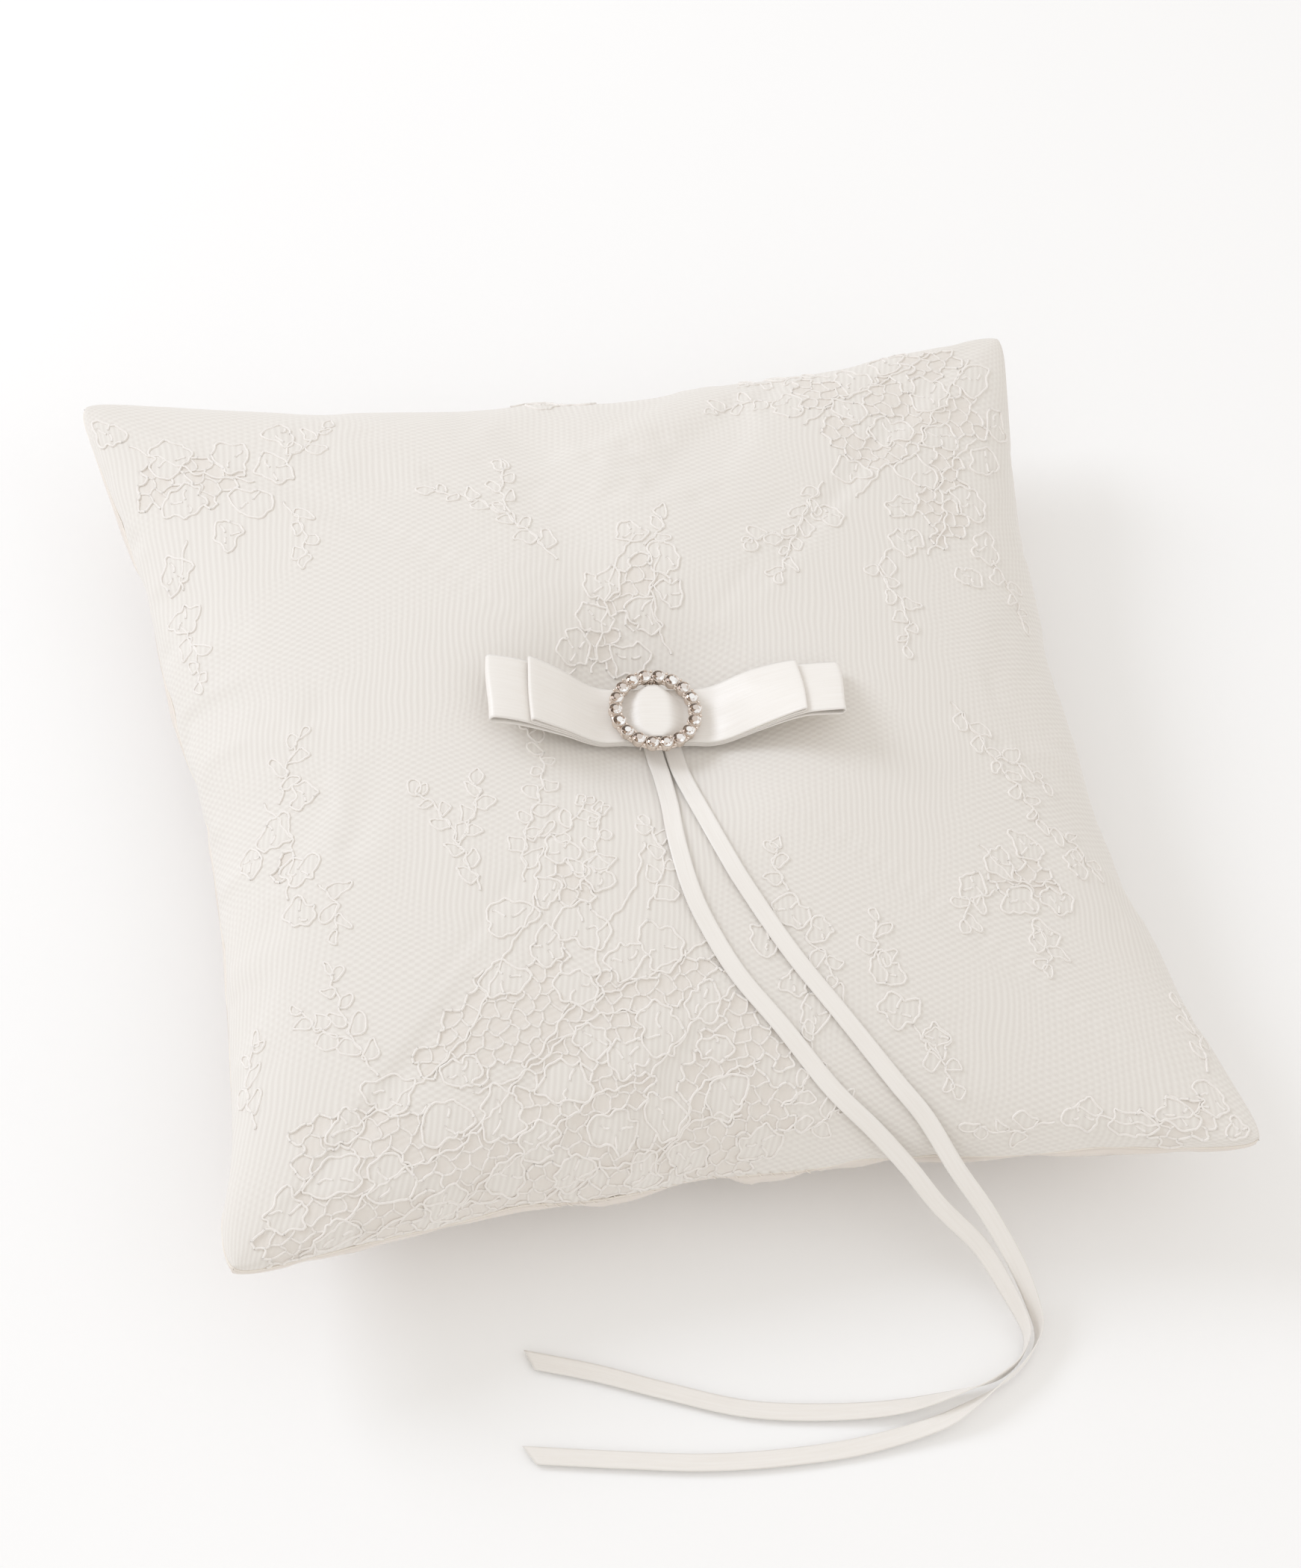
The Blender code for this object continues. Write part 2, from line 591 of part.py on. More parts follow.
def build_pillow(collection):
    panel_depth = LACE_THICKNESS + CLEARANCE
    inner_depth = panel_depth + PANEL_THICKNESS
    seam_inset = inner_depth + CLEARANCE + THREAD_RADIUS
    closing_inset = seam_inset + 2 * THREAD_RADIUS + CLEARANCE
    filling_inset = closing_inset + THREAD_RADIUS + CLEARANCE
    lace = add_panel("lace_overlay", "corded_lace", collection, front_point,
                     0.0, 0.0, LACE_THICKNESS)
    add_panel("front_panel", "ivory_satin", collection, front_point,
              panel_depth, panel_depth, PANEL_THICKNESS)
    add_panel("back_panel", "ivory_satin", collection, back_point,
              0.0, 0.0, PANEL_THICKNESS)
    add_filling("polyester_filling", collection, filling_inset,
                inner_depth + CLEARANCE, PANEL_THICKNESS + CLEARANCE)
    add_seam_thread(collection, seam_inset)
    add_closing_thread(collection, closing_inset)
    return height_reader(lace)


def build_bow(collection, lace_height):
    add_loop("bow_long_loop", collection, lace_height,
             loop_profile(LONG_LOOP_LENGTH, LONG_LOWER, LONG_UPPER, LONG_LOOP_OPENING,
                          LOOP_GROUNDING, False))
    rise = LONG_LOOP_OPENING - LAYER_STEP - LOOP_GROUNDING
    long_reach = (LONG_LOOP_LENGTH - LONG_LOOP_OPENING) / 2
    share = loop_opening_share(SHORT_LOOP_LENGTH / 2, long_reach)
    add_loop("bow_short_loop", collection, lace_height,
             loop_profile(SHORT_LOOP_LENGTH, SHORT_LOWER, SHORT_UPPER, SHORT_LOOP_OPENING,
                          -rise * share - CLEARANCE, True))
    add_streamer("streamer_left", STREAMER_LEFT_ROUTE, collection)
    add_streamer("streamer_right", STREAMER_RIGHT_ROUTE, collection)
    add_streamer_stitch(collection, lace_height)


def main():
    clear_scene()
    parts = make_collection("ring_bearer_pillow")
    tools = make_collection("buckle_tools")
    lace_height = build_pillow(parts)
    build_bow(parts, lace_height)
    pivot = add_pivot(parts, lace_height)
    add_frame(parts, tools, pivot)
    add_stones(parts, pivot)


main()
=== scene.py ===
"""Ring bearer pillow, the looks: a satin cushion inflated by its filling, corded lace sewn over
its front, a flat satin bow threaded through a rhinestone buckle, and two satin streamers.

Metres throughout. The lace and the panels are worked out on the flat cut, whose own
coordinates p and q run across and up the cut square from its middle.
"""
import math

import bmesh
import bpy
import numpy as np
from mathutils import Matrix, Vector
from mathutils.geometry import delaunay_2d_cdt


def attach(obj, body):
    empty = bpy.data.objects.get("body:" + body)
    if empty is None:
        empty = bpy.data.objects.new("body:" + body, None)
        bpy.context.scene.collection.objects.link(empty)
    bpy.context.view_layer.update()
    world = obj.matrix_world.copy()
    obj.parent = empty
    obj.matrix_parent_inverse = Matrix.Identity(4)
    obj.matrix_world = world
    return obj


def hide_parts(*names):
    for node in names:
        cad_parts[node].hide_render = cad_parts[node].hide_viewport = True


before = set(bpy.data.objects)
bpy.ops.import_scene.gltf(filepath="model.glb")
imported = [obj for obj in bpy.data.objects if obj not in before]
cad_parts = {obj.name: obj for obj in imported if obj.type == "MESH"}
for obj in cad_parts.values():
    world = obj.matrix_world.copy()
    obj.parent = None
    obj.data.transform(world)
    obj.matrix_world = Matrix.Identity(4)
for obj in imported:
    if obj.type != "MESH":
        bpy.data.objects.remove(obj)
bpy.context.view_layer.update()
MM = 0.001

# ---- the cushion's form, as the frame has it
HALF_SIDE = 0.100
PULL_LEFT = 0.0123         # how far the filling draws each side in at its middle
PULL_RIGHT = 0.0111
PULL_FAR = 0.0058
PULL_NEAR = 0.0122
CROWN = 0.0270
SEAM_MID = 0.0199
SEAM_CORNER = 0.0288
BELLY_DROP = 0.0030
CORNER_ROUND = 0.0023      # the sewn tips are turned out blunt
CORNER_SHARPNESS = 26      # how near the tip the rounding starts, as a power

BOW_X = -0.0005
BOW_Y = 0.0032
BOW_TURN = math.radians(-6.3)
DIMPLE_DEPTH = 0.0096
DIMPLE_FLOOR = 0.0085
DIMPLE_SLOPE = 0.0110
CREASE_DEPTH = 0.0011
RIDGE_HEIGHT = 0.0007

# ---- layers
SATIN_THICKNESS = 0.00035
SATIN_DEPTH = 0.00055      # the front satin's face below the lace's face
FIBRE_DEPTH = 0.0016       # the filling's face below the outer faces
FIBRE_SHRINK = 0.975       # the filling's edge, as a share of the way out to the seam
SEAM_SHARE = 0.987         # the line of lock stitches, likewise
SEAM_STOPS = 110           # points along each side of it
SEAM_THREAD = 0.0004
CLOSING_FIRST = -0.045     # the slip stitches' places along the near side
CLOSING_LAST = 0.015
CLOSING_PITCH = 0.0022
CLOSING_THREAD = 0.00022
LACE_CELLS = 300           # faces across the lace
SATIN_CELLS = 110
FIBRE_CELLS = 48

# Each side's own waves along the seam: side, place along it, push outwards, spread.
SEAM_WAVES = (
    ("left", 0.030, 0.0012, 0.013), ("left", -0.012, -0.0005, 0.009),
    ("left", -0.088, 0.0012, 0.006),
    ("near", -0.044, -0.0011, 0.005), ("near", -0.020, 0.0006, 0.008),
    ("near", 0.030, -0.0005, 0.007), ("near", 0.052, 0.0005, 0.007),
    ("far", -0.004, 0.0010, 0.004), ("far", -0.020, -0.0005, 0.008),
    ("right", 0.020, 0.0004, 0.010), ("right", -0.030, -0.0005, 0.010))

# ---- cloth simulation
SEWN_CELLS = 72            # faces across each sewn square
SEWN_FRAMES = 34
SEWN_GAP = 0.0012          # each square's distance from the plane of the seam at the start
CLOTH = {"quality": 5, "mass": 0.15, "use_pressure": True, "uniform_pressure_force": 9.0,
         "tension_stiffness": 40.0, "compression_stiffness": 40.0, "shear_stiffness": 12.0,
         "bending_stiffness": 0.6}
WRINKLE_SPREAD = 4.6       # cells: what is smoother than this along the seam isn't a wrinkle
WRINKLE_CAP = 0.0016
WRINKLE_GAIN = 0.45
BACK_WRINKLE_GAIN = 0.85
CALM_HALF_LENGTH = 0.038   # the lace lies smooth under the bow and beside the streamers
CALM_HALF_WIDTH = 0.010
CALM_FADE = 0.012
CALM_STOPS = 15            # the streamers' stops that lie on the cushion

# ---- bow
RIBBON_WIDTH = 0.0150
WAIST_WIDTH = 0.0120
WAIST_HALF_LENGTH = 0.0030
WAIST_TAPER_END = 0.0260
RIBBON_THICKNESS = 0.00026
BOW_SHIFT = 0.0010
LONG_LENGTH = 0.0694
SHORT_LENGTH = 0.0531
LONG_OPENING = 0.0017
SHORT_OPENING = 0.0010
GROUNDING = -0.0003        # how far the lower ply comes down to its ends; below 0 it rises
LONG_LOWER = 0.00115       # heights above the lace at the bow's middle
LAYER_STEP = 0.0004
STACK_RISE = 0.0006        # how far the plies lift beside the bar, over which they are pinned
ARCH_HEIGHT = 0.0018
ARCH_HALF_LENGTH = 0.0063
ARCH_EDGE = 0.0041         # how much shorter the arch is at the ribbon's edges
LOOP_STRANDS = 25          # points across a loop
END_START = 0.016          # where the ends begin to sway and swell
END_RUN = 0.018
END_SWAY = 0.0003
END_FAN = 0.09
ROLL_AXIS = 0.0058         # each end is rolled about this line across the ribbon
RIGHT_ROLL = math.radians(21.0)
LEFT_ROLL = math.radians(3.0)
PLEAT_HEIGHT = 0.00010
PLEAT_PLACE = 0.0125
PLEAT_SPREAD = 0.0040
ARM_RISE = 0.0019          # how far both arms lift beyond the ring
LEFT_LIFT = 0.0002
RIGHT_DROP = 0.0019        # the right end comes down again by this
LOOP_BELLY = 0.00035
BUCKLE_REACH = 0.0105
BAR_MIDDLE = 0.0036
RING_BOTTOM = 0.0038

# ---- buckle
STONE_COUNT = 18
STONE_PITCH_RADIUS = 0.00785
STONE_RADIUS = 0.00116
CUP_RADIUS = 0.00136
CUP_HEIGHT = 0.0018
CUP_PROFILE = (            # radius and height, from the axis round to the axis
    (0, 0.0), (0.00105, 0.0), (0.00128, 0.00018), (CUP_RADIUS, 0.0005), (CUP_RADIUS, 0.00160),
    (0.00131, 0.00176), (0.00124, CUP_HEIGHT), (0.00117, 0.00172), (0.00113, 0.00100),
    (0.0, 0.00080))
BEAD_PROFILE = (
    (0, -0.0003), (0.00018, -0.00026), (0.00030, -0.00008), (0.00029, 0.00010),
    (0.00015, 0.00027), (0, 0.00030))
BEAD_STEPS = (-0.00095, 0.00105)   # the beads inside and outside the circle of stones
BEAD_HEIGHT = 0.00150
STONE_RINGS = (            # points, share of the radius, height, first angle in degrees
    (8, 0.54, 0.00034, 0.0), (8, 0.80, 0.00020, 22.5), (16, 1.0, 0.00002, 0.0),
    (16, 1.0, -0.00004, 0.0))
STONE_BOTTOM = -0.0006
STONE_SINK = 0.00004       # the girdle's middle below the cups' rims
STONE_ANGLES = 2 * math.pi * (np.arange(STONE_COUNT) + 0.5) / STONE_COUNT + math.pi / 2

# ---- streamers and the stitch over them
STREAMER_WIDTH = 0.0035
STREAMER_THICKNESS = 0.0003
STREAMER_STRANDS = 9
STREAMER_CUP = 0.00010
CUT_SLANT = 0.0013         # the cut end's slant, made up over the last CUT_RUN
CUT_RUN = 0.008
TACK_LEFT = -0.0041        # the staple of thread over both streamers
TACK_RIGHT = 0.0047
TACK_Y = -0.0026
TACK_TOP = 0.0389
TACK_THREAD = 0.00028
# The routes: x, y, z and roll in degrees, as the frame's own ribbons lie.
STREAMER_LEFT_ROUTE = (
    (-0.0017, -0.0010, 0.03781, 0), (-0.0016, -0.0055, 0.03785, 0),
    (-0.0015, -0.0094, 0.03860, 0), (-0.0019, -0.0139, 0.04035, 0),
    (-0.0026, -0.0195, 0.04290, 0), (-0.0034, -0.0250, 0.04475, 0),
    (-0.0037, -0.0302, 0.04550, 0), (-0.0033, -0.0388, 0.04525, 1),
    (-0.0017, -0.0463, 0.04425, 3), (0.0023, -0.0568, 0.04220, 6),
    (0.0094, -0.0680, 0.03905, 10), (0.0169, -0.0789, 0.03410, 20),
    (0.0244, -0.0860, 0.02905, 34), (0.0311, -0.0919, 0.02300, 44),
    (0.0372, -0.0976, 0.01650, 45), (0.0449, -0.1037, 0.01000, 46),
    (0.0493, -0.1112, 0.00560, 56), (0.0518, -0.1177, 0.00290, 74),
    (0.0512, -0.1214, 0.00220, 86), (0.0485, -0.1248, 0.00215, 90),
    (0.0443, -0.1272, 0.00215, 88), (0.0385, -0.1286, 0.00205, 66),
    (0.0245, -0.1299, 0.00100, 18), (0.0096, -0.1287, 0.00055, 0),
    (-0.0049, -0.1258, 0.00050, 0), (-0.0188, -0.1202, 0.00050, 0),
    (-0.0312, -0.1147, 0.00050, 0), (-0.0430, -0.1103, 0.00050, 0))
STREAMER_RIGHT_ROUTE = (
    (0.0023, -0.0010, 0.03781, 0), (0.0023, -0.0050, 0.03782, 0),
    (0.0024, -0.0090, 0.03850, 2), (0.0026, -0.0139, 0.04040, 3),
    (0.0028, -0.0189, 0.04272, 2), (0.0035, -0.0255, 0.04490, 0),
    (0.0051, -0.0330, 0.04560, 0), (0.0073, -0.0399, 0.04510, 2),
    (0.0135, -0.0541, 0.04270, 4), (0.0217, -0.0678, 0.03900, 9),
    (0.0291, -0.0789, 0.03435, 17), (0.0345, -0.0855, 0.03010, 32),
    (0.0399, -0.0933, 0.02350, 43), (0.0459, -0.1001, 0.01650, 45),
    (0.0514, -0.1082, 0.00900, 48), (0.0539, -0.1155, 0.00460, 64),
    (0.0541, -0.1195, 0.00270, 78), (0.0522, -0.1227, 0.00220, 88),
    (0.0490, -0.1258, 0.00215, 90), (0.0447, -0.1284, 0.00215, 84),
    (0.0377, -0.1318, 0.00180, 50), (0.0303, -0.1343, 0.00100, 16),
    (0.0153, -0.1364, 0.00055, 0), (0.0001, -0.1365, 0.00050, 0),
    (-0.0146, -0.1353, 0.00050, 0), (-0.0290, -0.1327, 0.00050, 0),
    (-0.0467, -0.1291, 0.00050, 0))

# ---- stage
FLOOR_HALF = 3.0
FLOOR_Z = -0.0004
LAMPS = (                  # name, place, disk's diameter, watts
    ("key", (-0.85, 0.60, 0.72), 0.55, 4.8), ("fill", (0.9, -0.7, 0.9), 1.2, 1.0))

# ---- the lace's sprigs, in millimetres on the flat cut
# Petals: middle p, q and radius. An earlier petal lies over a later one.
PETALS = (
    (-38, -40, 5.0), (-25, -44, 5.8), (-11, -50, 5.4), (-32, -47, 4.2), (-18, -52, 4.4),
    (-41, -52, 4.8), (-28, -56, 4.6), (-14, -66, 5.6), (-5, -62, 4.4), (-21, -70, 4.4),
    (-33, -73, 5.2), (-27, -66, 3.9), (-45, -77, 5.2), (-39, -83, 4.4), (-55, -76, 5.0),
    (-25, -83, 5.2), (-15, -82, 4.9), (-20, -92, 4.4), (-3, -80, 4.9), (3, -90, 4.6),
    (-64, -69, 4.8), (-65, -84, 5.0), (-45, -89, 4.6), (-33, -90, 4.4), (-74, -81, 4.8),
    (-11, -91, 4.4), (-82, -85, 4.4), (-56, -91, 4.4), (-74, -92, 4.0), (-51, -68, 3.8),
    (-26, -28, 3.6), (-20, -34, 3.8), (-30, -36, 3.4), (-72, -73, 3.6), (-4, -71, 3.4),
    (15, -46, 4.2), (9, -51, 3.6), (16, -66, 4.0), (13, -60, 3.2), (32, -67, 4.2),
    (31, -59, 3.8), (38, -73, 3.4), (20, -50, 3.0),
    (-5, 33, 4.2), (-8, 26, 4.0), (2, 26, 4.0), (8, 37, 4.2), (-13, 20, 4.2), (-2, 18, 4.2),
    (3, 44, 3.4), (8, 29, 3.2),
    (74, 77, 5.2), (84, 80, 4.6), (64, 68, 4.8), (67, 57, 4.8), (77, 50, 4.6), (78, 39, 4.2),
    (60, 39, 4.2), (53, 58, 4.2), (45, 46, 3.6), (60, 83, 4.6), (45, 77, 4.2), (83, 61, 4.2),
    (74, 66, 4.2), (57, 74, 3.8), (88, 70, 3.8), (68, 88, 4.2), (61, 48, 3.6), (72, 31, 3.2),
    (66, -34, 3.8), (59, -38, 3.8), (52, -43, 3.6), (61, -46, 4.0), (69, -46, 3.6),
    (64, -53, 3.2), (76, -37, 3.2),
    (-80, 76, 4.8), (-80, 66, 4.6), (-68, 63, 4.4), (-62, 71, 4.2), (-69, 75, 4.4),
    (-86, 52, 4.2), (-87, 42, 3.8), (-90, 84, 4.0), (-59, 80, 3.6), (-74, 57, 3.6),
    (-79, -11, 4.2), (-75, -21, 4.2), (-76, -30, 3.6), (-85, -15, 3.4), (-72, -5, 3.2),
    (62, -88, 3.8), (70, -90, 4.0), (78, -88, 4.0), (85, -84, 3.8), (88, -91, 3.2),
    (-4, 88, 3.4), (4, 91, 3.0))
# Patches of net between the petals: middle p, q and radius.
NET_PATCHES = (
    (-40, -62, 10), (-30, -64, 8), (-52, -64, 7), (-18, -60, 8), (-6, -56, 6), (2, -70, 9),
    (-4, -74, 7), (-24, -76, 8), (-39, -76, 7), (-50, -84, 8), (-33, -82, 7), (-23, -92, 8),
    (-9, -86, 8), (-49, -94, 9), (-58, -80, 7), (-68, -76, 7), (-70, -88, 8), (-82, -92, 6),
    (-64, -93, 7), (-38, -94, 7), (-4, -93, 7), (3, -82, 7), (-33, -53, 6), (-24, -36, 5),
    (-46, -57, 6), (-79, -82, 5), (-76, -72, 4),
    (72, 70, 8), (80, 72, 6), (66, 77, 7), (60, 62, 6), (73, 57, 6), (70, 46, 6), (54, 68, 5),
    (76, 86, 6), (52, 81, 6), (-74, 70, 6), (-84, 71, 5), (-2, 29, 5), (-8, 20, 4), (3, 33, 5),
    (74, -90, 5), (82, -87, 5), (60, -41, 4), (66, -41, 4), (-78, -19, 4))
# Sprays: a stem through these p, q points, with leaves on both sides.
SPRAYS = (
    ((-13, 40), (-19, 50), (-26, 57), (-33, 60)), ((-19, 50), (-20, 58), (-18, 65)),
    ((5, 40), (9, 44), (10, 47)), ((-14, 16), (-20, 12), (-24, 9)),
    ((-34, -33), (-32, -24), (-27, -14), (-25, -5), (-27, 1)),
    ((-42, -34), (-44, -26), (-46, -18), (-50, -11)), ((-45, -24), (-40, -16), (-39, -11)),
    ((-24, -37), (-19, -28), (-17, -20)), ((-12, -42), (-7, -33), (-8, -24)),
    ((-32, -24), (-25, -24), (-19, -18)),
    ((-66, -65), (-69, -58), (-71, -50), (-72, -44)), ((-69, -58), (-75, -54), (-78, -50)),
    ((17, -51), (20, -56), (21, -61)), ((16, -42), (14, -37), (15, -33)),
    ((31, -61), (30, -55), (31, -49)), ((34, -70), (38, -76), (40, -81)),
    ((7, -83), (13, -78), (14, -71)), ((7, -88), (14, -87), (19, -83)),
    ((59, -1), (62, -7), (65, -14), (69, -22), (71, -28)), ((65, -14), (71, -15), (75, -19)),
    ((71, -28), (77, -32), (80, -38)), ((56, -44), (51, -46), (49, -50)),
    ((62, -50), (64, -55), (63, -59)), ((56, 37), (52, 31), (55, 22), (53, 12)),
    ((46, 55), (41, 48), (36, 40), (31, 31)), ((36, 40), (32, 41), (27, 40)),
    ((79, 37), (82, 30), (84, 23)), ((44, 79), (37, 80), (30, 78)), ((56, 86), (48, 89), (40, 88)),
    ((-60, 72), (-55, 76), (-50, 82)), ((-88, 41), (-86, 34), (-87, 28)),
    ((-62, 62), (-60, 55), (-61, 49)), ((-77, -5), (-74, 2), (-70, 7)),
    ((-72, -25), (-69, -30), (-70, -36)), ((57, -89), (50, -91), (44, -90)),
    ((87, -79), (89, -72), (88, -66)), ((-88, -68), (-90, -60), (-88, -53)),
    ((-10, 90), (-3, 93), (4, 91)))

# Long cords that wander through the sprigs, without leaves.
TRAILS = (
    ((-80, -95), (-66, -84), (-52, -80), (-38, -68), (-30, -60), (-16, -56), (-2, -50)),
    ((-60, -97), (-48, -88), (-40, -84), (-28, -76), (-18, -74), (-6, -64), (4, -58)),
    ((-74, -74), (-62, -70), (-50, -62), (-42, -50), (-34, -40), (-30, -28)),
    ((-40, -97), (-30, -90), (-16, -88), (-8, -78), (4, -74)),
    ((-24, -56), (-22, -46), (-14, -38), (-10, -28)), ((-70, -96), (-60, -90), (-46, -94)),
    ((-50, -72), (-40, -70), (-26, -62), (-16, -62)), ((-22, -95), (-10, -84), (0, -84)),
    ((52, 50), (60, 58), (68, 62), (74, 72), (84, 86)), ((46, 70), (56, 78), (66, 82), (78, 90)),
    ((64, 36), (70, 44), (72, 56), (82, 66)), ((-10, 16), (-6, 26), (-2, 36), (4, 44)),
    ((6, 18), (4, 28), (8, 40)), ((-86, 80), (-76, 72), (-66, 68)), ((-82, 58), (-86, 48)),
    ((56, -34), (62, -42), (70, -42)), ((-78, -26), (-76, -14), (-80, -4)),
    ((60, -86), (72, -90), (84, -86)))

NET_PITCH = 3.3            # mm across a cell of the net
NET_SIDES = (0.15, 6)      # mm: shorter and longer sides of cells are left out
PETAL_STEP = 0.6           # mm along a petal's outline
PETAL_SCALE = 0.80
PETAL_BOX = 9              # mm: no petal reaches this far from its middle
LEAF_SPACING = 3.4         # mm along a stem
LEAF_LENGTH = 4.6          # mm, at the foot of the stem
CORD_STEP = 0.5            # mm between a thread's points
CORD_WANDER = 0.34         # mm
CORD_WIDTH = 0.00054       # the thick outlining thread
CORD_HEIGHT = 0.00056
NET_THREAD_WIDTH = 0.00046
NET_THREAD_HEIGHT = 0.00044
CORD_SIDES = 5
PETAL_RISE = 0.00014
NET_SINK = 0.00010
OUTLINE_LIFT = 0.7 * PETAL_RISE    # a thread's middle above the lace's face
SPRAY_LIFT = 0.00008
NET_LIFT = 0.00002
TULLE_RIB_PITCH = 1.15     # mm between ribs
LATTICE_RISE = 0.866       # the lattice is made of near enough equal triangles
WARP_PITCH = 0.45          # mm between the ribbon's warp lines


# ---- numbers
def smoothstep(t):
    """0 below 0, 1 above 1, smooth between."""
    t = np.clip(t, 0.0, 1.0)
    return t * t * (3 - 2 * t)


def bell(distance, spread):
    """1 at no distance, falling like a normal curve."""
    return np.exp(-0.5 * (distance / spread) ** 2)


def unit(vectors):
    return vectors / np.maximum(np.linalg.norm(vectors, axis=-1, keepdims=True), 1e-12)


def polar(radius, turn):
    return radius * math.cos(turn), radius * math.sin(turn)


def arc_lengths(path):
    """How far along a path each of its points lies."""
    return np.concatenate([[0], np.cumsum(np.linalg.norm(np.diff(path, axis=0), axis=1))])


# ---- meshes
def grid_faces(rows, cols, closed_rows=False, closed_cols=False):
    """Quads of a grid of rows x cols points, row by row, facing rows x cols crosswise."""
    i = np.arange(rows if closed_rows else rows - 1)
    j = np.arange(cols if closed_cols else cols - 1)
    i, j = (a.ravel() for a in np.meshgrid(i, j, indexing="ij"))
    i2, j2 = (i + 1) % rows, (j + 1) % cols
    return np.stack([i * cols + j, i * cols + j2, i2 * cols + j2, i2 * cols + j], axis=1)


def link_new(name, data):
    """A new object of some data, in the scene."""
    obj = bpy.data.objects.new(name, data)
    bpy.context.scene.collection.objects.link(obj)
    return obj


def mesh_piece(name, points, faces, material, smooth=True, uv=None, values=()):
    """Put arrays into a new object. uv is per point; values are named floats per point."""
    mesh = bpy.data.meshes.new(name)
    points = np.asarray(points, dtype=np.float64).reshape(-1, 3)
    faces = faces.tolist() if isinstance(faces, np.ndarray) else faces
    mesh.from_pydata(points.tolist(), [], faces)
    mesh.materials.append(material)
    mesh.polygons.foreach_set("use_smooth", np.full(len(mesh.polygons), smooth))
    if uv is not None:
        corner_points = np.empty(len(mesh.loops), dtype=np.int32)
        mesh.loops.foreach_get("vertex_index", corner_points)
        layer = mesh.uv_layers.new(name="cut")
        flat = np.asarray(uv, dtype=np.float32).reshape(-1, 2)[corner_points]
        layer.data.foreach_set("uv", flat.ravel())
    for key, numbers in dict(values).items():
        attribute = mesh.attributes.new(key, "FLOAT", "POINT")
        attribute.data.foreach_set("value", np.asarray(numbers, dtype=np.float32).ravel())
    mesh.update()
    return link_new(name, mesh)


def thicken(obj, thickness, offset=-1.0):
    """Give a sheet its wall: inwards from its face, or half to each side at offset 0."""
    wall = obj.modifiers.new("cloth_thickness", "SOLIDIFY")
    wall.thickness = thickness
    wall.offset = offset
    wall.use_rim = True
    return obj


def tube(path, side, up, width, height, sides, closed=False):
    """Points and faces of an oval tube: rings of a flattened circle carried along a path."""
    turn = np.linspace(0, 2 * math.pi, sides, endpoint=False)
    across = 0.5 * width * np.cos(turn)[None, :, None] * side[:, None, :]
    rise = 0.5 * height * np.sin(turn)[None, :, None] * up[:, None, :]
    points = (path[:, None, :] + across + rise).reshape(-1, 3)
    faces = grid_faces(len(path), sides, closed_rows=closed, closed_cols=True).tolist()
    if not closed:
        faces.append(list(range(sides)))
        faces.append(list(range(len(points) - 1, len(points) - 1 - sides, -1)))
    return points, faces


def welded(front, back, edge):
    """Two square grids as one closed surface that shares the front's edge points.

    Also gives the index of each of the back's points.
    """
    n = len(front)
    index = np.arange(n * n)
    inner = ~edge.ravel()
    index[inner] = n * n + np.arange(inner.sum())
    points = np.concatenate([front.reshape(-1, 3), back.reshape(-1, 3)[inner]])
    faces = grid_faces(n, n)
    return points, np.concatenate([faces, index[faces][:, ::-1]]), index.reshape(n, n)


def joined(parts):
    """Several (points, faces) as one."""
    points, faces, start = [], [], 0
    for part_points, part_faces in parts:
        points.append(part_points)
        faces.extend([[k + start for k in face] for face in part_faces])
        start += len(part_points)
    return np.concatenate(points), faces


def turned(profile, sides):
    """Points and faces of a profile (radius, height) turned about Z, its ends on the axis."""
    turn = np.linspace(0, 2 * math.pi, sides, endpoint=False)
    rings = np.array(profile[1:-1])
    ring_points = np.stack([rings[:, 0, None] * np.cos(turn), rings[:, 0, None] * np.sin(turn),
                            np.repeat(rings[:, 1, None], sides, axis=1)], axis=-1)
    points = np.concatenate([ring_points.reshape(-1, 3),
                             [[0, 0, profile[0][1]], [0, 0, profile[-1][1]]]])
    faces = grid_faces(len(rings), sides, closed_cols=True).tolist()
    low, high = len(points) - 2, len(points) - 1
    last = (len(rings) - 1) * sides
    for k in range(sides):
        after = (k + 1) % sides
        faces.append([after, k, low])
        faces.append([last + k, last + after, high])
    return points, faces


# ---- the cushion
def arc_table():
    """How far a point at share u of the half side lies along the cloth from the middle.

    The cloth runs over the cushion's middle section, whose height is a quarter ellipse.
    """
    u = np.linspace(0, 1, 3001)
    x = u * (HALF_SIDE - PULL_LEFT * u * u)
    z = CROWN * np.sqrt(1 - u * u)
    return u, arc_lengths(np.stack([x, z], axis=1))


SHARES, LENGTHS = arc_table()
FLAT_HALF = LENGTHS[-1]


def flat_to_share(flat):
    return np.sign(flat) * np.interp(np.abs(flat), LENGTHS, SHARES)


def side_wave(side, place):
    total = np.zeros_like(place)
    for name, middle, push, spread in SEAM_WAVES:
        if name == side:
            total += push * bell(place - middle, spread)
    return total


def outline(u, v):
    """Plan of the cushion: a square whose sides are drawn in, with waves and blunt tips."""
    pull_x = np.where(u < 0, PULL_LEFT, PULL_RIGHT)
    pull_y = np.where(v < 0, PULL_NEAR, PULL_FAR)
    x = u * (HALF_SIDE - pull_x * (1 - v * v) * u * u)
    y = v * (HALF_SIDE - pull_y * (1 - u * u) * v * v)
    wave_x = np.where(u < 0, side_wave("left", y), side_wave("right", y))
    wave_y = np.where(v < 0, side_wave("near", x), side_wave("far", x))
    tip = CORNER_ROUND * (u * u * v * v) ** (CORNER_SHARPNESS / 2)
    x = x + np.sign(u) * (wave_x * np.abs(u) ** 7 - tip)
    y = y + np.sign(v) * (wave_y * np.abs(v) ** 7 - tip)
    return x, y


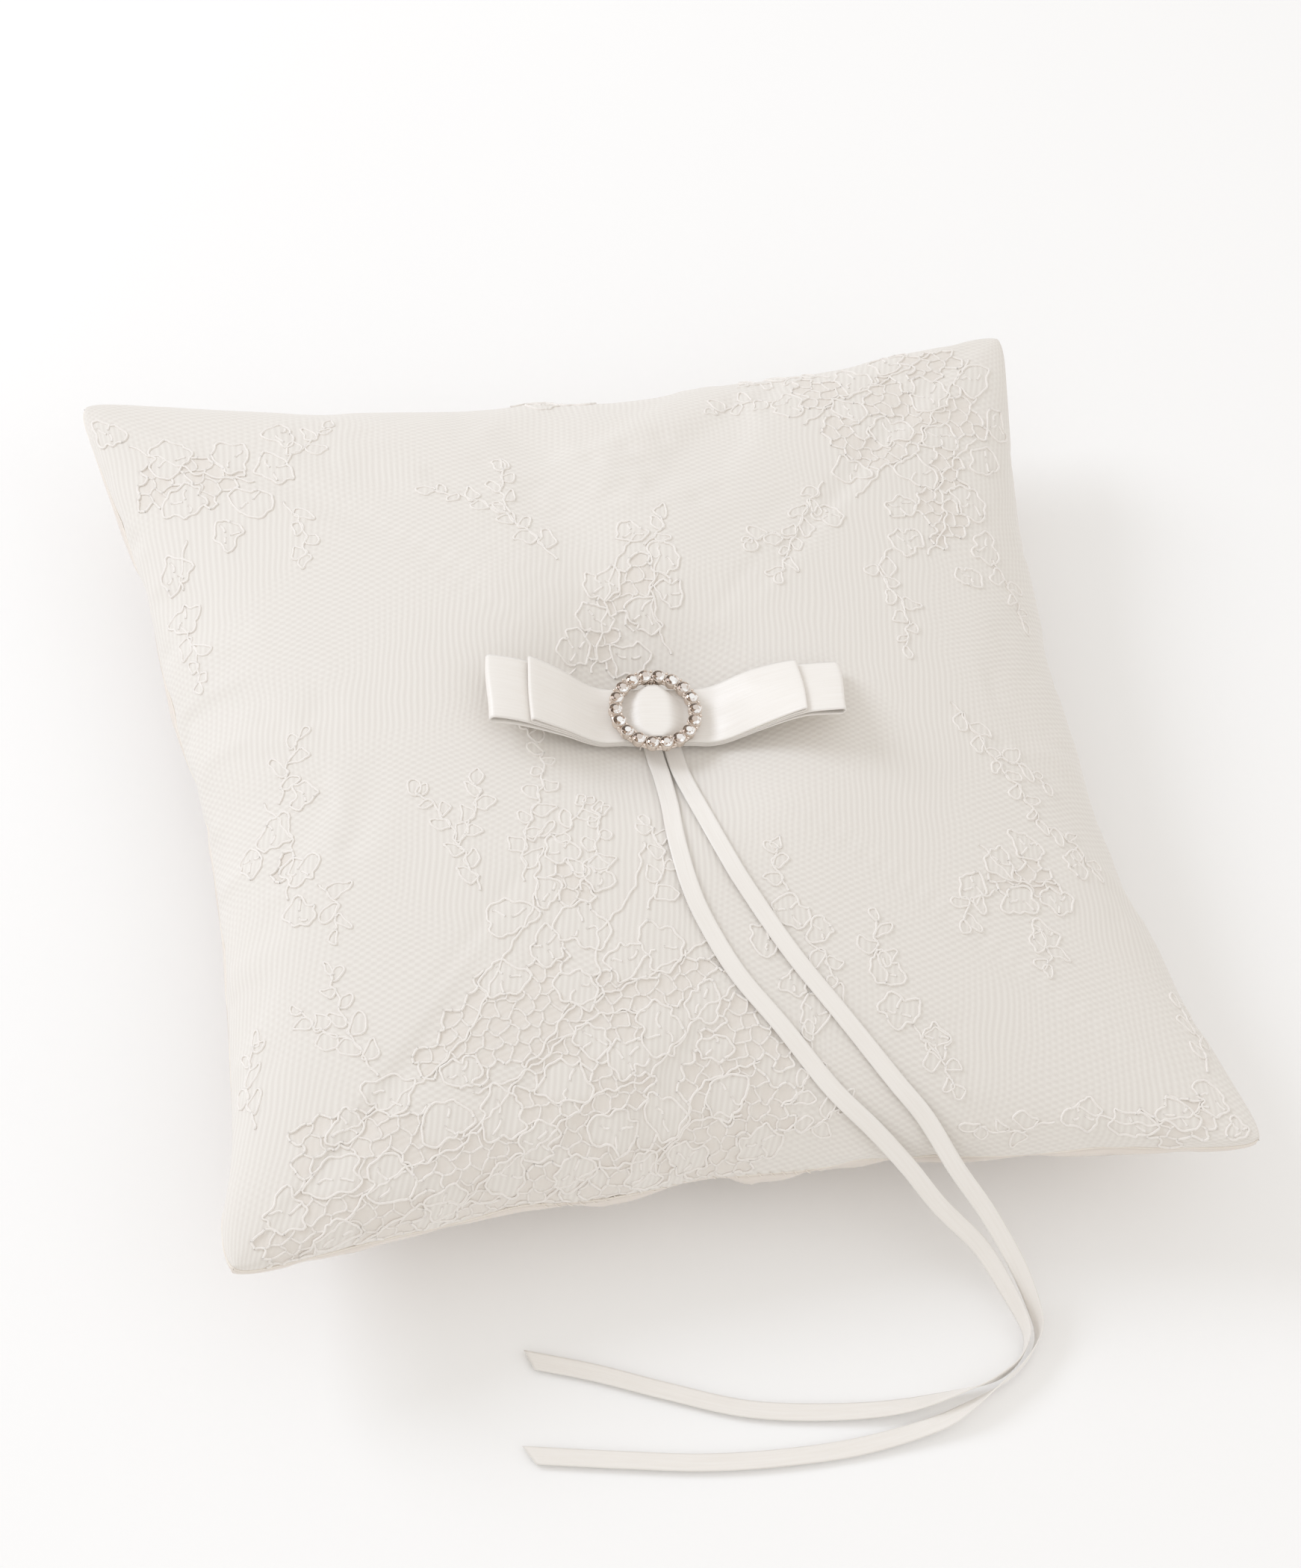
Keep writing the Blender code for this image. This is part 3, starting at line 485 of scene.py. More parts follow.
def dimple(x, y):
    beyond = np.maximum(0.0, np.hypot(x - BOW_X, y - BOW_Y) - DIMPLE_FLOOR) / DIMPLE_SLOPE
    return DIMPLE_DEPTH * np.exp(-0.5 * beyond * beyond)


def fullness(u, v):
    """0 along the seam and 1 at the middle, as a square of two half ellipses."""
    return np.sqrt(np.clip((1 - u * u) * (1 - v * v), 0, None))


def seam_height(u, v):
    return SEAM_MID + (SEAM_CORNER - SEAM_MID) * u * u * v * v


def far_crease(x, y):
    """A shallow valley from the bow to the far side, with a low ridge to its right."""
    line = -0.006 - 0.10 * (y - 0.02)
    reach = smoothstep((y - 0.014) / 0.022) * smoothstep((0.096 - y) / 0.03)
    ridge = RIDGE_HEIGHT * bell(x - line - 0.019, 0.010)
    return reach * (ridge - CREASE_DEPTH * bell(x - line, 0.0065))


def front_form(p, q):
    """The front: seam height plus the crown's fullness, less the bow's dimple."""
    u, v = flat_to_share(p), flat_to_share(q)
    x, y = outline(u, v)
    z = seam_height(u, v) + CROWN * fullness(u, v) - dimple(x, y)
    return np.stack([x, y, z + far_crease(x, y)], axis=-1)


def back_form(p, q):
    """The back: seam height less the belly's fullness, pressed flat by the table."""
    u, v = flat_to_share(p), flat_to_share(q)
    x, y = outline(u, v)
    drop = seam_height(u, v) - (SEAM_MID + BELLY_DROP) * fullness(u, v)
    return np.stack([x, y, np.maximum(drop, 0.0)], axis=-1)


# ---- cloth simulation: two squares sewn at their edges and filled
def sewn_squares(cells, half):
    """Two flat squares that share their edge, a little apart elsewhere."""
    line = np.linspace(-half, half, cells + 1)
    p, q = np.meshgrid(line, line)
    edge = (np.abs(p) > half - 1e-9) | (np.abs(q) > half - 1e-9)
    gap = np.where(edge, 0.0, SEWN_GAP)
    return welded(np.stack([p, q, gap], axis=-1), np.stack([p, q, -gap], axis=-1), edge)


def smoother(count, spread):
    """Matrix that smooths a line of points and keeps a straight run straight at its ends."""
    reach = int(3 * spread)
    kernel = bell(np.arange(-reach, reach + 1), spread)
    kernel /= kernel.sum()
    matrix = np.zeros((count, count))
    for i in range(count):
        for k, weight in zip(range(i - reach, i + reach + 1), kernel):
            if k < 0:
                matrix[i, 0] += 2 * weight
                matrix[i, min(-k, count - 1)] -= weight
            elif k > count - 1:
                matrix[i, count - 1] += 2 * weight
                matrix[i, max(2 * (count - 1) - k, 0)] -= weight
            else:
                matrix[i, k] += weight
    return matrix


def sewn_wrinkles():
    """Fill two sewn squares with cloth simulation, and return each sheet's wrinkles.

    A wrinkle is what is left of the filled shape when it is smoothed along the seam: along
    q beside the left and right sides, along p beside the far and near ones.
    """
    points, faces, back_index = sewn_squares(SEWN_CELLS, HALF_SIDE)
    front_index = np.arange(back_index.size).reshape(back_index.shape)
    mesh = bpy.data.meshes.new("sewn_squares")
    mesh.from_pydata(points.tolist(), [], faces.tolist())
    sewn = link_new("sewn_squares", mesh)
    cloth = sewn.modifiers.new("filled", "CLOTH")
    settings = cloth.settings
    for key, value in CLOTH.items():
        setattr(settings, key, value)
    settings.effector_weights.gravity = 0.0
    scene = bpy.context.scene
    cloth.point_cache.frame_start = 1
    cloth.point_cache.frame_end = SEWN_FRAMES
    for step in range(1, SEWN_FRAMES + 1):
        scene.frame_set(step)
    filled = sewn.evaluated_get(bpy.context.evaluated_depsgraph_get())
    shape = np.empty(len(points) * 3)
    filled.data.vertices.foreach_get("co", shape)
    shape = shape.reshape(-1, 3)
    scene.frame_set(1)
    bpy.data.objects.remove(sewn, do_unlink=True)
    matrix = smoother(SEWN_CELLS + 1, WRINKLE_SPREAD)
    line = np.linspace(-1, 1, SEWN_CELLS + 1)
    p, q = np.meshgrid(line, line)
    sideways = (p ** 4 + 1e-6) / (p ** 4 + q ** 4 + 2e-6)
    found = []
    for index in (front_index, back_index):
        sheet = shape[index]
        along_q = sheet - np.einsum("ij,jkc->ikc", matrix, sheet)
        along_p = sheet - np.einsum("ij,kjc->kic", matrix, sheet)
        wrinkle = sideways[..., None] * along_q + (1 - sideways)[..., None] * along_p
        length = np.linalg.norm(wrinkle, axis=-1, keepdims=True)
        wrinkle *= np.tanh(length / WRINKLE_CAP) * WRINKLE_CAP / np.maximum(length, 1e-9)
        found.append(wrinkle)
    return found


def grid_cells(cells, p, q):
    """Each flat place's row and column on a grid over the cut, and how far past each."""
    found = []
    for flat in (q, p):
        place = np.clip((flat / FLAT_HALF + 1) / 2 * cells, 0, cells - 1e-6)
        whole = place.astype(int)
        found += [whole, place - whole]
    return found


def resample(sheet, p, q):
    """Read a sheet of values on the sewn grid at flat places, by Catmull-Rom interpolation."""
    cells = len(sheet) - 1
    row, past_row, column, past_column = grid_cells(cells, p, q)

    def weights(t):
        return (0.5 * (-t + 2 * t ** 2 - t ** 3), 0.5 * (2 - 5 * t ** 2 + 3 * t ** 3),
                0.5 * (t + 4 * t ** 2 - 3 * t ** 3), 0.5 * (t ** 3 - t ** 2))
    result = 0
    for di, wi in enumerate(weights(past_row)):
        for dj, wj in enumerate(weights(past_column)):
            i = np.clip(row + di - 1, 0, cells)
            j = np.clip(column + dj - 1, 0, cells)
            result = result + (wi * wj)[..., None] * sheet[i, j]
    return result


def calm(points):
    """0 where the bow and the streamers hold the lace smooth, 1 well away from them."""
    x, y = points[..., 0] - BOW_X, points[..., 1] - BOW_Y
    s = x * math.cos(BOW_TURN) + y * math.sin(BOW_TURN)
    w = -x * math.sin(BOW_TURN) + y * math.cos(BOW_TURN)
    from_bow = np.hypot(np.maximum(0, np.abs(s) - CALM_HALF_LENGTH),
                        np.maximum(0, np.abs(w) - CALM_HALF_WIDTH))
    free = smoothstep(from_bow / CALM_FADE)
    for route in (STREAMER_LEFT_ROUTE, STREAMER_RIGHT_ROUTE):
        for stop in route[:CALM_STOPS]:
            away = np.hypot(points[..., 0] - stop[0], points[..., 1] - stop[1])
            free = np.minimum(free, smoothstep((away - 0.004) / CALM_FADE))
    return free


WRINKLES = sewn_wrinkles()


def front_face(p, q, wrinkled=True):
    """The lace's face at flat places: the front's form with its wrinkles."""
    points = front_form(p, q)
    if wrinkled:
        relief = resample(WRINKLES[0], p, q) * WRINKLE_GAIN
        edge = smoothstep((np.maximum(np.abs(p), np.abs(q)) / FLAT_HALF - 0.90) / 0.08)
        points = points + relief * np.maximum(calm(points), edge)[..., None]
    return points


def back_face(p, q):
    points = back_form(p, q)
    relief = resample(WRINKLES[1], p, q) * BACK_WRINKLE_GAIN
    points = points + relief * smoothstep(points[..., 2] / 0.006)[..., None]
    points[..., 2] = np.maximum(points[..., 2], 0.0)
    return points


def face_normals(points):
    """Unit normals of a grid of points, outwards on the front."""
    across = np.gradient(points, axis=1)
    along = np.gradient(points, axis=0)
    return unit(np.cross(across, along))


def flat_grid(cells):
    """Flat places of an even grid over the whole cut."""
    line = np.linspace(-1, 1, cells + 1) * FLAT_HALF
    return np.meshgrid(line, line)


class Cover:
    """A grid of places and normals over the front, read at any flat place."""

    def __init__(self, cells, wrinkled):
        p, q = flat_grid(cells)
        self.cells = cells
        self.points = front_face(p, q, wrinkled)
        self.normals = face_normals(self.points)

    def at(self, p, q):
        """Place and normal at flat places, by bilinear interpolation."""
        i, a, j, b = grid_cells(self.cells, p, q)
        a, b = a[..., None], b[..., None]
        out = []
        for sheet in (self.points, self.normals):
            low = sheet[i, j] * (1 - b) + sheet[i, j + 1] * b
            high = sheet[i + 1, j] * (1 - b) + sheet[i + 1, j + 1] * b
            out.append(low * (1 - a) + high * a)
        return out[0], unit(out[1])


COVER = Cover(260, True)
CALM_COVER = Cover(260, False)


def lace_height(x, y):
    """Height of the unwrinkled lace over plan points near the bow."""
    p, q = np.array(x, dtype=float), np.array(y, dtype=float)
    for _ in range(14):
        place, _ = CALM_COVER.at(p, q)
        p, q = p + (x - place[..., 0]), q + (y - place[..., 1])
    return CALM_COVER.at(p, q)[0][..., 2]


# ---- lace: seeds, cells and cords, all in millimetres on the flat cut
def petal_radius(k, turn):
    """Radius of petal k at an angle: a circle stretched and scalloped by a few waves."""
    size = PETAL_SCALE * PETALS[k][2]
    shift = 1.3 * k
    waves = (0.15 * np.cos(2 * turn + shift) + 0.11 * np.cos(3 * turn + 2.1 * shift)
             + 0.07 * np.cos(5 * turn + 0.7 * shift) + 0.04 * np.cos(8 * turn + 1.9 * shift))
    return size * (1 + waves)


def depth_in_petals(places, last=None):
    """How far inside the deepest of the petals before the last places lie, in mm."""
    depth = np.full(places.shape[:-1], -99.0)
    for k, (p, q, _) in enumerate(PETALS[:last]):
        near = np.maximum(np.abs(places[..., 0] - p), np.abs(places[..., 1] - q)) < PETAL_BOX
        if near.any():
            arm = places[near] - np.array([p, q], dtype=float)
            turn = np.arctan2(arm[:, 1], arm[:, 0])
            inside = petal_radius(k, turn) - np.hypot(arm[:, 0], arm[:, 1])
            depth[near] = np.maximum(depth[near], inside)
    return depth


def shown_runs(path, shown, least=4):
    """The unbroken runs of a path's shown points."""
    runs, start = [], None
    for k, seen in enumerate(list(shown) + [False]):
        if seen and start is None:
            start = k
        if not seen and start is not None:
            if k - start >= least:
                runs.append(path[start:k])
            start = None
    return runs


def petal_cords():
    """Each petal's outline where no earlier petal covers it, and two or three veins inside."""
    paths = []
    for k, (p, q, size) in enumerate(PETALS):
        turn = np.linspace(0, 2 * math.pi, int(2 * math.pi * size / PETAL_STEP)) + 0.9 * k
        reach = petal_radius(k, turn)
        outline_path = np.stack([p + reach * np.cos(turn), q + reach * np.sin(turn)], axis=1)
        paths += shown_runs(outline_path, depth_in_petals(outline_path, k) < 0)
        heading = 1.7 * k + np.array([0.0, 2.4, 4.4])[:2 + k % 2]
        for way in heading:
            out = np.linspace(0.15, 0.62, max(5, int(size)))
            bend = way + 0.5 * (out - 0.15) * (-1) ** k
            vein = np.stack([p + size * out * np.cos(bend), q + size * out * np.sin(bend)],
                            axis=1)
            paths += shown_runs(vein, depth_in_petals(vein, k) < 0)
    return paths


def inside_patches(places):
    spots = np.array([patch[:2] for patch in NET_PATCHES], dtype=float)
    reach = np.array([patch[2] for patch in NET_PATCHES], dtype=float)
    arm = places[:, None, :] - spots[None]
    turn = np.arctan2(arm[..., 1], arm[..., 0])
    ragged = 0.86 + 0.22 * np.sin(3 * turn + spots[:, 0]) + 0.14 * np.sin(7 * turn + spots[:, 1])
    return (np.linalg.norm(arm, axis=-1) < reach * ragged).any(axis=1)


def net_seeds():
    """An uneven honeycomb of seeds, and which of them are cells of the net."""
    rng = np.random.default_rng(7)
    half = FLAT_HALF / MM
    rows = np.arange(-half, half, NET_PITCH * math.sqrt(3) / 2)
    line = np.arange(-half, half, NET_PITCH)
    p, q = np.meshgrid(line, rows)
    p = p + NET_PITCH / 2 * (np.arange(len(rows)) % 2)[:, None]
    places = np.stack([p, q], axis=-1).reshape(-1, 2)
    places += rng.uniform(-0.45, 0.45, places.shape)
    return places, inside_patches(places)


def voronoi_edges(seeds):
    """Edges between neighbouring seeds' cells: two end points and the two seeds of each.

    A cell's corners are the middles of the circles through three neighbouring seeds.
    """
    result = delaunay_2d_cdt([Vector(seed) for seed in seeds], [], [], 0, 1e-6)
    places = np.array([tuple(vert) for vert in result[0]])
    order = np.array([origin[0] for origin in result[3]])
    triangles = np.array(result[2])
    a, b, c = (places[triangles[:, k]] for k in range(3))
    twice = 2 * ((b - a)[:, 0] * (c - a)[:, 1] - (b - a)[:, 1] * (c - a)[:, 0])
    lb, lc = ((b - a) ** 2).sum(axis=1), ((c - a) ** 2).sum(axis=1)
    centre = a + np.stack([((c - a)[:, 1] * lb - (b - a)[:, 1] * lc) / twice,
                           ((b - a)[:, 0] * lc - (c - a)[:, 0] * lb) / twice], axis=1)
    sides = np.concatenate([triangles[:, [0, 1]], triangles[:, [1, 2]], triangles[:, [2, 0]]])
    owner = np.tile(np.arange(len(triangles)), 3)
    sides = np.sort(order[sides], axis=1)
    keys = sides[:, 0] * len(seeds) + sides[:, 1]
    ranked = np.argsort(keys, kind="stable")
    twin = keys[ranked][1:] == keys[ranked][:-1]
    first, second = ranked[:-1][twin], ranked[1:][twin]
    return centre[owner[first]], centre[owner[second]], sides[first]


def net_cords(seeds, kept):
    """Threads of the net between the petals, and the thicker edge where the net ends."""
    start, end, pair = voronoi_edges(seeds)
    length = np.linalg.norm(end - start, axis=1)
    drawn = kept[pair].any(axis=1) & (length > NET_SIDES[0]) & (length < NET_SIDES[1])
    paths = []
    for a, b in zip(start[drawn], end[drawn]):
        count = max(4, int(np.linalg.norm(b - a) / CORD_STEP) + 2)
        t = np.linspace(0, 1, count)[:, None]
        paths.append(a * (1 - t) + b * t)
    shown = depth_in_petals(np.concatenate(paths)) < 0.3
    ends = np.cumsum([len(path) for path in paths])
    rim, thin = [], []
    for path, stop, both in zip(paths, ends, kept[pair[drawn]].all(axis=1)):
        runs = shown_runs(path, shown[stop - len(path):stop], 3)
        (thin if both else rim).extend(runs)
    return rim, thin


def spray_cords():
    """Stems with leaves: each leaf is a pointed oval beside the stem, smaller to the tip."""
    paths, leaves = [], []
    for stops in TRAILS:
        paths.append(smooth_line(np.array(stops, dtype=float), CORD_STEP))
    for number, stops in enumerate(SPRAYS):
        stem = smooth_line(np.array(stops, dtype=float), CORD_STEP)
        paths.append(stem)
        total = len(stem)
        spacing = int(LEAF_SPACING / CORD_STEP)
        side = 1 if number % 2 else -1
        for k in list(range(spacing, total - 1, spacing)) + [total - 1]:
            ahead = stem[min(k + 1, total - 1)] - stem[max(k - 2, 0)]
            heading = math.atan2(ahead[1], ahead[0])
            tip = k == total - 1
            heading += 0 if tip else side * (0.85 + 0.15 * math.sin(3.1 * k + number))
            size = LEAF_LENGTH * (1 - 0.35 * k / total)
            size *= 1 + 0.15 * math.sin(2.3 * k + 1.7 * number)
            t = np.linspace(0, 2 * math.pi, max(12, int(2.4 * size / CORD_STEP)))
            along = size * 0.5 * (1 - np.cos(t))
            across = 0.30 * size * np.sin(t) * (1 + 0.25 * np.cos(t))
            turn = np.array([[math.cos(heading), math.sin(heading)],
                             [-math.sin(heading), math.cos(heading)]])
            leaf = stem[k] + np.stack([along, across], axis=1) @ turn
            paths.append(leaf)
            leaves.append((stem[k] + 0.5 * size * turn[0], 0.36 * size))
            side = -side
    return paths, leaves


def smooth_line(stops, step):
    """Points a step apart on a Catmull-Rom curve through the stops."""
    knots = np.concatenate([[2 * stops[0] - stops[1]], stops, [2 * stops[-1] - stops[-2]]])
    t = np.linspace(0, 1, 24, endpoint=False)[:, None]
    fine = [0.5 * (2 * b + (c - a) * t + (2 * a - 5 * b + 4 * c - d) * t * t
                   + (3 * b - a - 3 * c + d) * t ** 3)
            for a, b, c, d in zip(knots, knots[1:], knots[2:], knots[3:])]
    fine = np.concatenate(fine + [stops[-1:]])
    lengths = arc_lengths(fine[:, :3])
    places = np.linspace(0, lengths[-1], max(2, round(lengths[-1] / step) + 1))
    return np.stack([np.interp(places, lengths, column) for column in fine.T], axis=1)


def wandering(path):
    """A thread laid by a machine but not quite true: moved sideways by a few tenths."""
    p, q = path[:, 0], path[:, 1]
    dp = CORD_WANDER * (np.sin(1.3 * q + 0.5 * p + 0.3) + 0.5 * np.sin(2.3 * q - 0.9 * p + 2.1))
    dq = CORD_WANDER * (np.sin(1.2 * p - 0.6 * q + 1.1) + 0.5 * np.sin(2.4 * p + 0.8 * q + 4.0))
    return path + np.stack([dp, dq], axis=1)


def within_cut(path):
    return np.clip(path, -FLAT_HALF / MM + 0.3, FLAT_HALF / MM - 0.3)


def lace_thread(path, width, height, lift):
    """A thread over the lace's face, half sunk in it."""
    flat = within_cut(wandering(path)) * MM
    place, normal = COVER.at(flat[:, 0], flat[:, 1])
    ahead = unit(np.gradient(place, axis=0))
    side = unit(np.cross(normal, ahead))
    return tube(place + lift * normal, side, normal, width, height, CORD_SIDES)


def build_lace_threads(p, q):
    """The lace's threads, and its petal and net-hole shares at flat places p, q."""
    seeds, kept = net_seeds()
    rim, thin = net_cords(seeds, kept)
    sprays, leaves = spray_cords()
    # Both threads' shades are painted a little whiter than the lace's face: painted highlight on
    # the raised threads.
    cord = lace_cord("rayon_cordonnet", ("#EEE9E3", "#F8F4F0"))
    fine = lace_cord("rayon_net_thread", ("#ECE6E0", "#F4F0EB"))
    groups = (
        ("lace_outline_cord", cord, petal_cords() + rim, CORD_WIDTH, CORD_HEIGHT, OUTLINE_LIFT),
        ("lace_spray_cord", cord, sprays, CORD_WIDTH * 0.9, CORD_HEIGHT, SPRAY_LIFT),
        ("lace_net_thread", fine, thin, NET_THREAD_WIDTH, NET_THREAD_HEIGHT, NET_LIFT))
    made = []
    for name, material, paths, width, height, lift in groups:
        tubes = [lace_thread(path, width, height, lift) for path in paths]
        made.append(mesh_piece(name, *joined(tubes), material))
    return made, *lace_relief(p, q, seeds, kept, leaves)


def lace_relief(p, q, seeds, kept, leaves):
    """Petal and net-hole shares at flat places.

    A hole is deepest in the middle of its cell, where the nearest seed is much nearer than
    the second nearest.
    """
    places = np.stack([p.ravel(), q.ravel()], axis=1) / MM
    depth = depth_in_petals(places)
    petal = smoothstep(depth / 0.5)
    hole = np.zeros(len(places))
    for first in range(0, len(places), 4000):
        block = places[first:first + 4000]
        away = np.linalg.norm(block[:, None, :] - seeds[None], axis=-1)
        nearest = away.argmin(axis=1)
        two = np.partition(away, 1, axis=1)[:, :2]
        hole[first:first + 4000] = kept[nearest] * smoothstep((two[:, 1] - two[:, 0]) / 1.3)
    hole *= 1 - smoothstep(depth / 0.3 + 1)
    for middle, reach in leaves:
        away = np.linalg.norm(places - middle, axis=1)
        petal = np.maximum(petal, smoothstep((reach * 1.25 - away) / 0.6))
    return petal.reshape(p.shape), hole.reshape(p.shape)


# ---- materials
def colour(code):
    """sRGB hex to the linear colour that shaders read."""
    parts = [int(code[k:k + 2], 16) / 255 for k in (1, 3, 5)]
    linear = [c / 12.92 if c <= 0.04045 else ((c + 0.055) / 1.055) ** 2.4 for c in parts]
    return (*linear, 1.0)


def feed(node, values):
    """Fix or link a node's inputs. A node given as a value links its first output in use."""
    for key, value in values.items():
        if isinstance(value, bpy.types.Node):
            value = next(output for output in value.outputs if output.enabled)
        if isinstance(value, bpy.types.NodeSocket):
            node.id_data.links.new(value, node.inputs[key])
        else:
            node.inputs[key].default_value = value


def add_node(tree, kind, values=(), **settings):
    """Add a node: settings are its properties; values are its inputs, fixed or linked."""
    node = tree.nodes.new("ShaderNode" + kind)
    for key, value in settings.items():
        setattr(node, key, value)
    feed(node, dict(values))
    return node


def start_material(name, **principled):
    """A material with its Principled shader's constants set on the shader itself."""
    material = bpy.data.materials.new(name)
    material.use_nodes = True
    shader = material.node_tree.nodes["Principled BSDF"]
    feed(shader, {key.replace("_", " "): value for key, value in principled.items()})
    return material, material.node_tree, shader


def tint_and_relief(tree, shader, tone, shades, height, strength=0.0, depth=0.0):
    """Shade the surface between two colours by tone, and raise it by height, in metres."""
    pale, deep = (colour(shade) if isinstance(shade, str) else shade for shade in shades)
    tint = add_node(tree, "Mix", {"Factor": tone, "A": pale, "B": deep}, data_type="RGBA")
    feed(shader, {"Base Color": tint})
    if depth:
        bump = add_node(tree, "Bump", {"Height": height, "Strength": strength,
                                       "Distance": depth})
        feed(shader, {"Normal": bump})


def grained(name, noise, shades, strength=0.0, depth=0.0, **principled):
    """A material whose tint and relief follow one noise, whose scale is per metre."""
    material, tree, shader = start_material(name, **principled)
    coords = add_node(tree, "TexCoord")
    grain = add_node(tree, "TexNoise", {"Vector": coords.outputs["Object"], **noise})
    tint_and_relief(tree, shader, grain, shades, grain, strength, depth)
    return material, tree, shader, grain


def lace_over_satin():
    """Nylon tulle with woven petals over bridal satin: matt, finely ribbed, ivory.

    The ribs are drawn 1.15 mm apart in the petals and in the tulle alike.
    """
    material, tree, shader = start_material(
        "nylon_tulle_lace_over_satin", Roughness=0.72, Sheen_Weight=0.25, Sheen_Roughness=0.5)
    uv = add_node(tree, "UVMap", uv_map="cut")
    turned_uv = add_node(tree, "Mapping", {"Vector": uv, "Rotation": (0, 0, math.radians(12))})
    sway = add_node(tree, "TexNoise", {"Vector": uv, "Scale": 0.07, "Detail": 1.0})
    sideways = add_node(tree, "VectorMath", {0: sway.outputs["Color"], "Scale": 2.4},
                        operation="SCALE")
    drawn = add_node(tree, "VectorMath", {0: turned_uv, 1: sideways}, operation="ADD")
    split = add_node(tree, "SeparateXYZ", {"Vector": drawn})
    rib = 2 * math.pi / TULLE_RIB_PITCH
    across = add_node(tree, "Math", {0: split, 1: rib}, operation="MULTIPLY")
    ribs = add_node(tree, "Math", {0: across}, operation="SINE")
    half = add_node(tree, "Math", {0: across, 1: 0.5}, operation="MULTIPLY")
    up = add_node(tree, "Math", {0: split.outputs["Y"], 1: rib * LATTICE_RISE},
                  operation="MULTIPLY")
    waves = []
    for operation in ("ADD", "SUBTRACT"):
        slanting = add_node(tree, "Math", {0: half, 1: up}, operation=operation)
        waves.append(add_node(tree, "Math", {0: slanting}, operation="SINE"))
    lattice = add_node(tree, "Math", dict(enumerate(waves)), operation="ADD")
    coords = add_node(tree, "TexCoord").outputs["Object"]
    drift = add_node(tree, "TexNoise", {"Vector": coords, "Scale": 26.0, "Detail": 1.0})
    choice = add_node(tree, "MapRange", {"Value": drift, "From Min": 0.42, "From Max": 0.60})
    petal = add_node(tree, "Attribute", attribute_name="petal").outputs["Fac"]
    net = add_node(tree, "Attribute", attribute_name="net").outputs["Fac"]
    picked = add_node(tree, "Mix", {"Factor": choice, "A": ribs, "B": lattice})
    woven = add_node(tree, "Mix", {"Factor": petal, "A": picked, "B": ribs})
    fine = add_node(tree, "TexNoise", {"Vector": coords, "Scale": 900.0, "Detail": 2.0})
    rough = add_node(tree, "Math", {0: fine, 1: woven}, operation="ADD")
    tone = add_node(tree, "MapRange", {"Value": woven, "From Min": -1.0, "From Max": 1.0})
    ground = add_node(tree, "Mix", {"Factor": tone, "A": colour("#E4DFD9"),
                                    "B": colour("#EBE7E1")}, data_type="RGBA")
    tint_and_relief(tree, shader, net, (ground, "#E6E0D9"), rough, 0.25, 0.00008)
    return material


def lace_cord(name, shades):
    """Rayon cordonnet: a soft two-ply thread, matt; on the lace its shades are a little whiter
    than its ground, which is painted highlight on the raised thread.
    """
    return grained(name, {"Scale": 2600.0, "Detail": 1.0}, shades, 0.4, 0.00006,
                   Roughness=0.62, Sheen_Weight=0.3)[0]


def bridal_satin(name, shades):
    """Polyester bridal satin: warp floats along p give a low, slightly streaked sheen."""
    material, tree, shader = start_material(name, Roughness=0.42, Sheen_Weight=0.15,
                                            Anisotropic=0.4)
    uv = add_node(tree, "UVMap", uv_map="cut")
    streaks = add_node(tree, "Mapping", {"Vector": uv, "Scale": (0.25, 5.0, 1.0)})
    slub = add_node(tree, "TexNoise", {"Vector": streaks, "Scale": 1.4, "Detail": 3.0})
    tint_and_relief(tree, shader, slub, shades, slub, 0.25, 0.00008)
    return material


def ribbon_satin():
    """Double-faced satin ribbon: fine warp lines along its length, corded woven edges."""
    material, tree, shader = start_material("double_faced_satin_ribbon", Roughness=0.36,
                                            Anisotropic=0.5, Sheen_Weight=0.1)
    uv = add_node(tree, "UVMap", uv_map="cut")
    split = add_node(tree, "SeparateXYZ", {"Vector": uv})
    lines = add_node(tree, "Math", {0: split.outputs["Y"], 1: 2 * math.pi / WARP_PITCH},
                     operation="MULTIPLY")
    warp = add_node(tree, "Math", {0: lines}, operation="SINE")
    streaks = add_node(tree, "Mapping", {"Vector": uv, "Scale": (0.10, 2.2, 1.0)})
    slub = add_node(tree, "TexNoise", {"Vector": streaks, "Scale": 1.0, "Detail": 3.0})
    edge = add_node(tree, "Attribute", attribute_name="selvage")
    small = add_node(tree, "Math", {0: warp, 1: 0.10}, operation="MULTIPLY")
    body = add_node(tree, "Math", {0: slub, 1: small}, operation="ADD")
    raised = add_node(tree, "Math", {0: body, 1: edge.outputs["Fac"]}, operation="ADD")
    tint_and_relief(tree, shader, slub, ("#EEE9E3", "#F7F4F0"), raised, 0.35, 0.00010)
    return material


def loose_fibre():
    """Crimped polyester fibre: white, matt and cloudy."""
    return grained("crimped_polyester_fibre", {"Scale": 320.0, "Detail": 5.0, "Distortion": 1.5},
                   ("#E4E4E2", "#FAFAF8"), 0.8, 0.0006, Roughness=0.95, Sheen_Weight=0.4)[0]


def plated_silver():
    """Zinc alloy with bright silver plate: a cast skin, slightly warm, mottled in tint and
    roughness by a fine noise.
    """
    material, tree, shader, cast = grained(
        "silver_plated_zinc_casting", {"Scale": 1500.0, "Detail": 3.0},
        ("#D6C8BC", "#F3EAE2"), 0.3, 0.00003, Metallic=1.0)
    dull = add_node(tree, "MapRange", {"Value": cast, "To Min": 0.14, "To Max": 0.34})
    feed(shader, {"Roughness": dull})
    return material


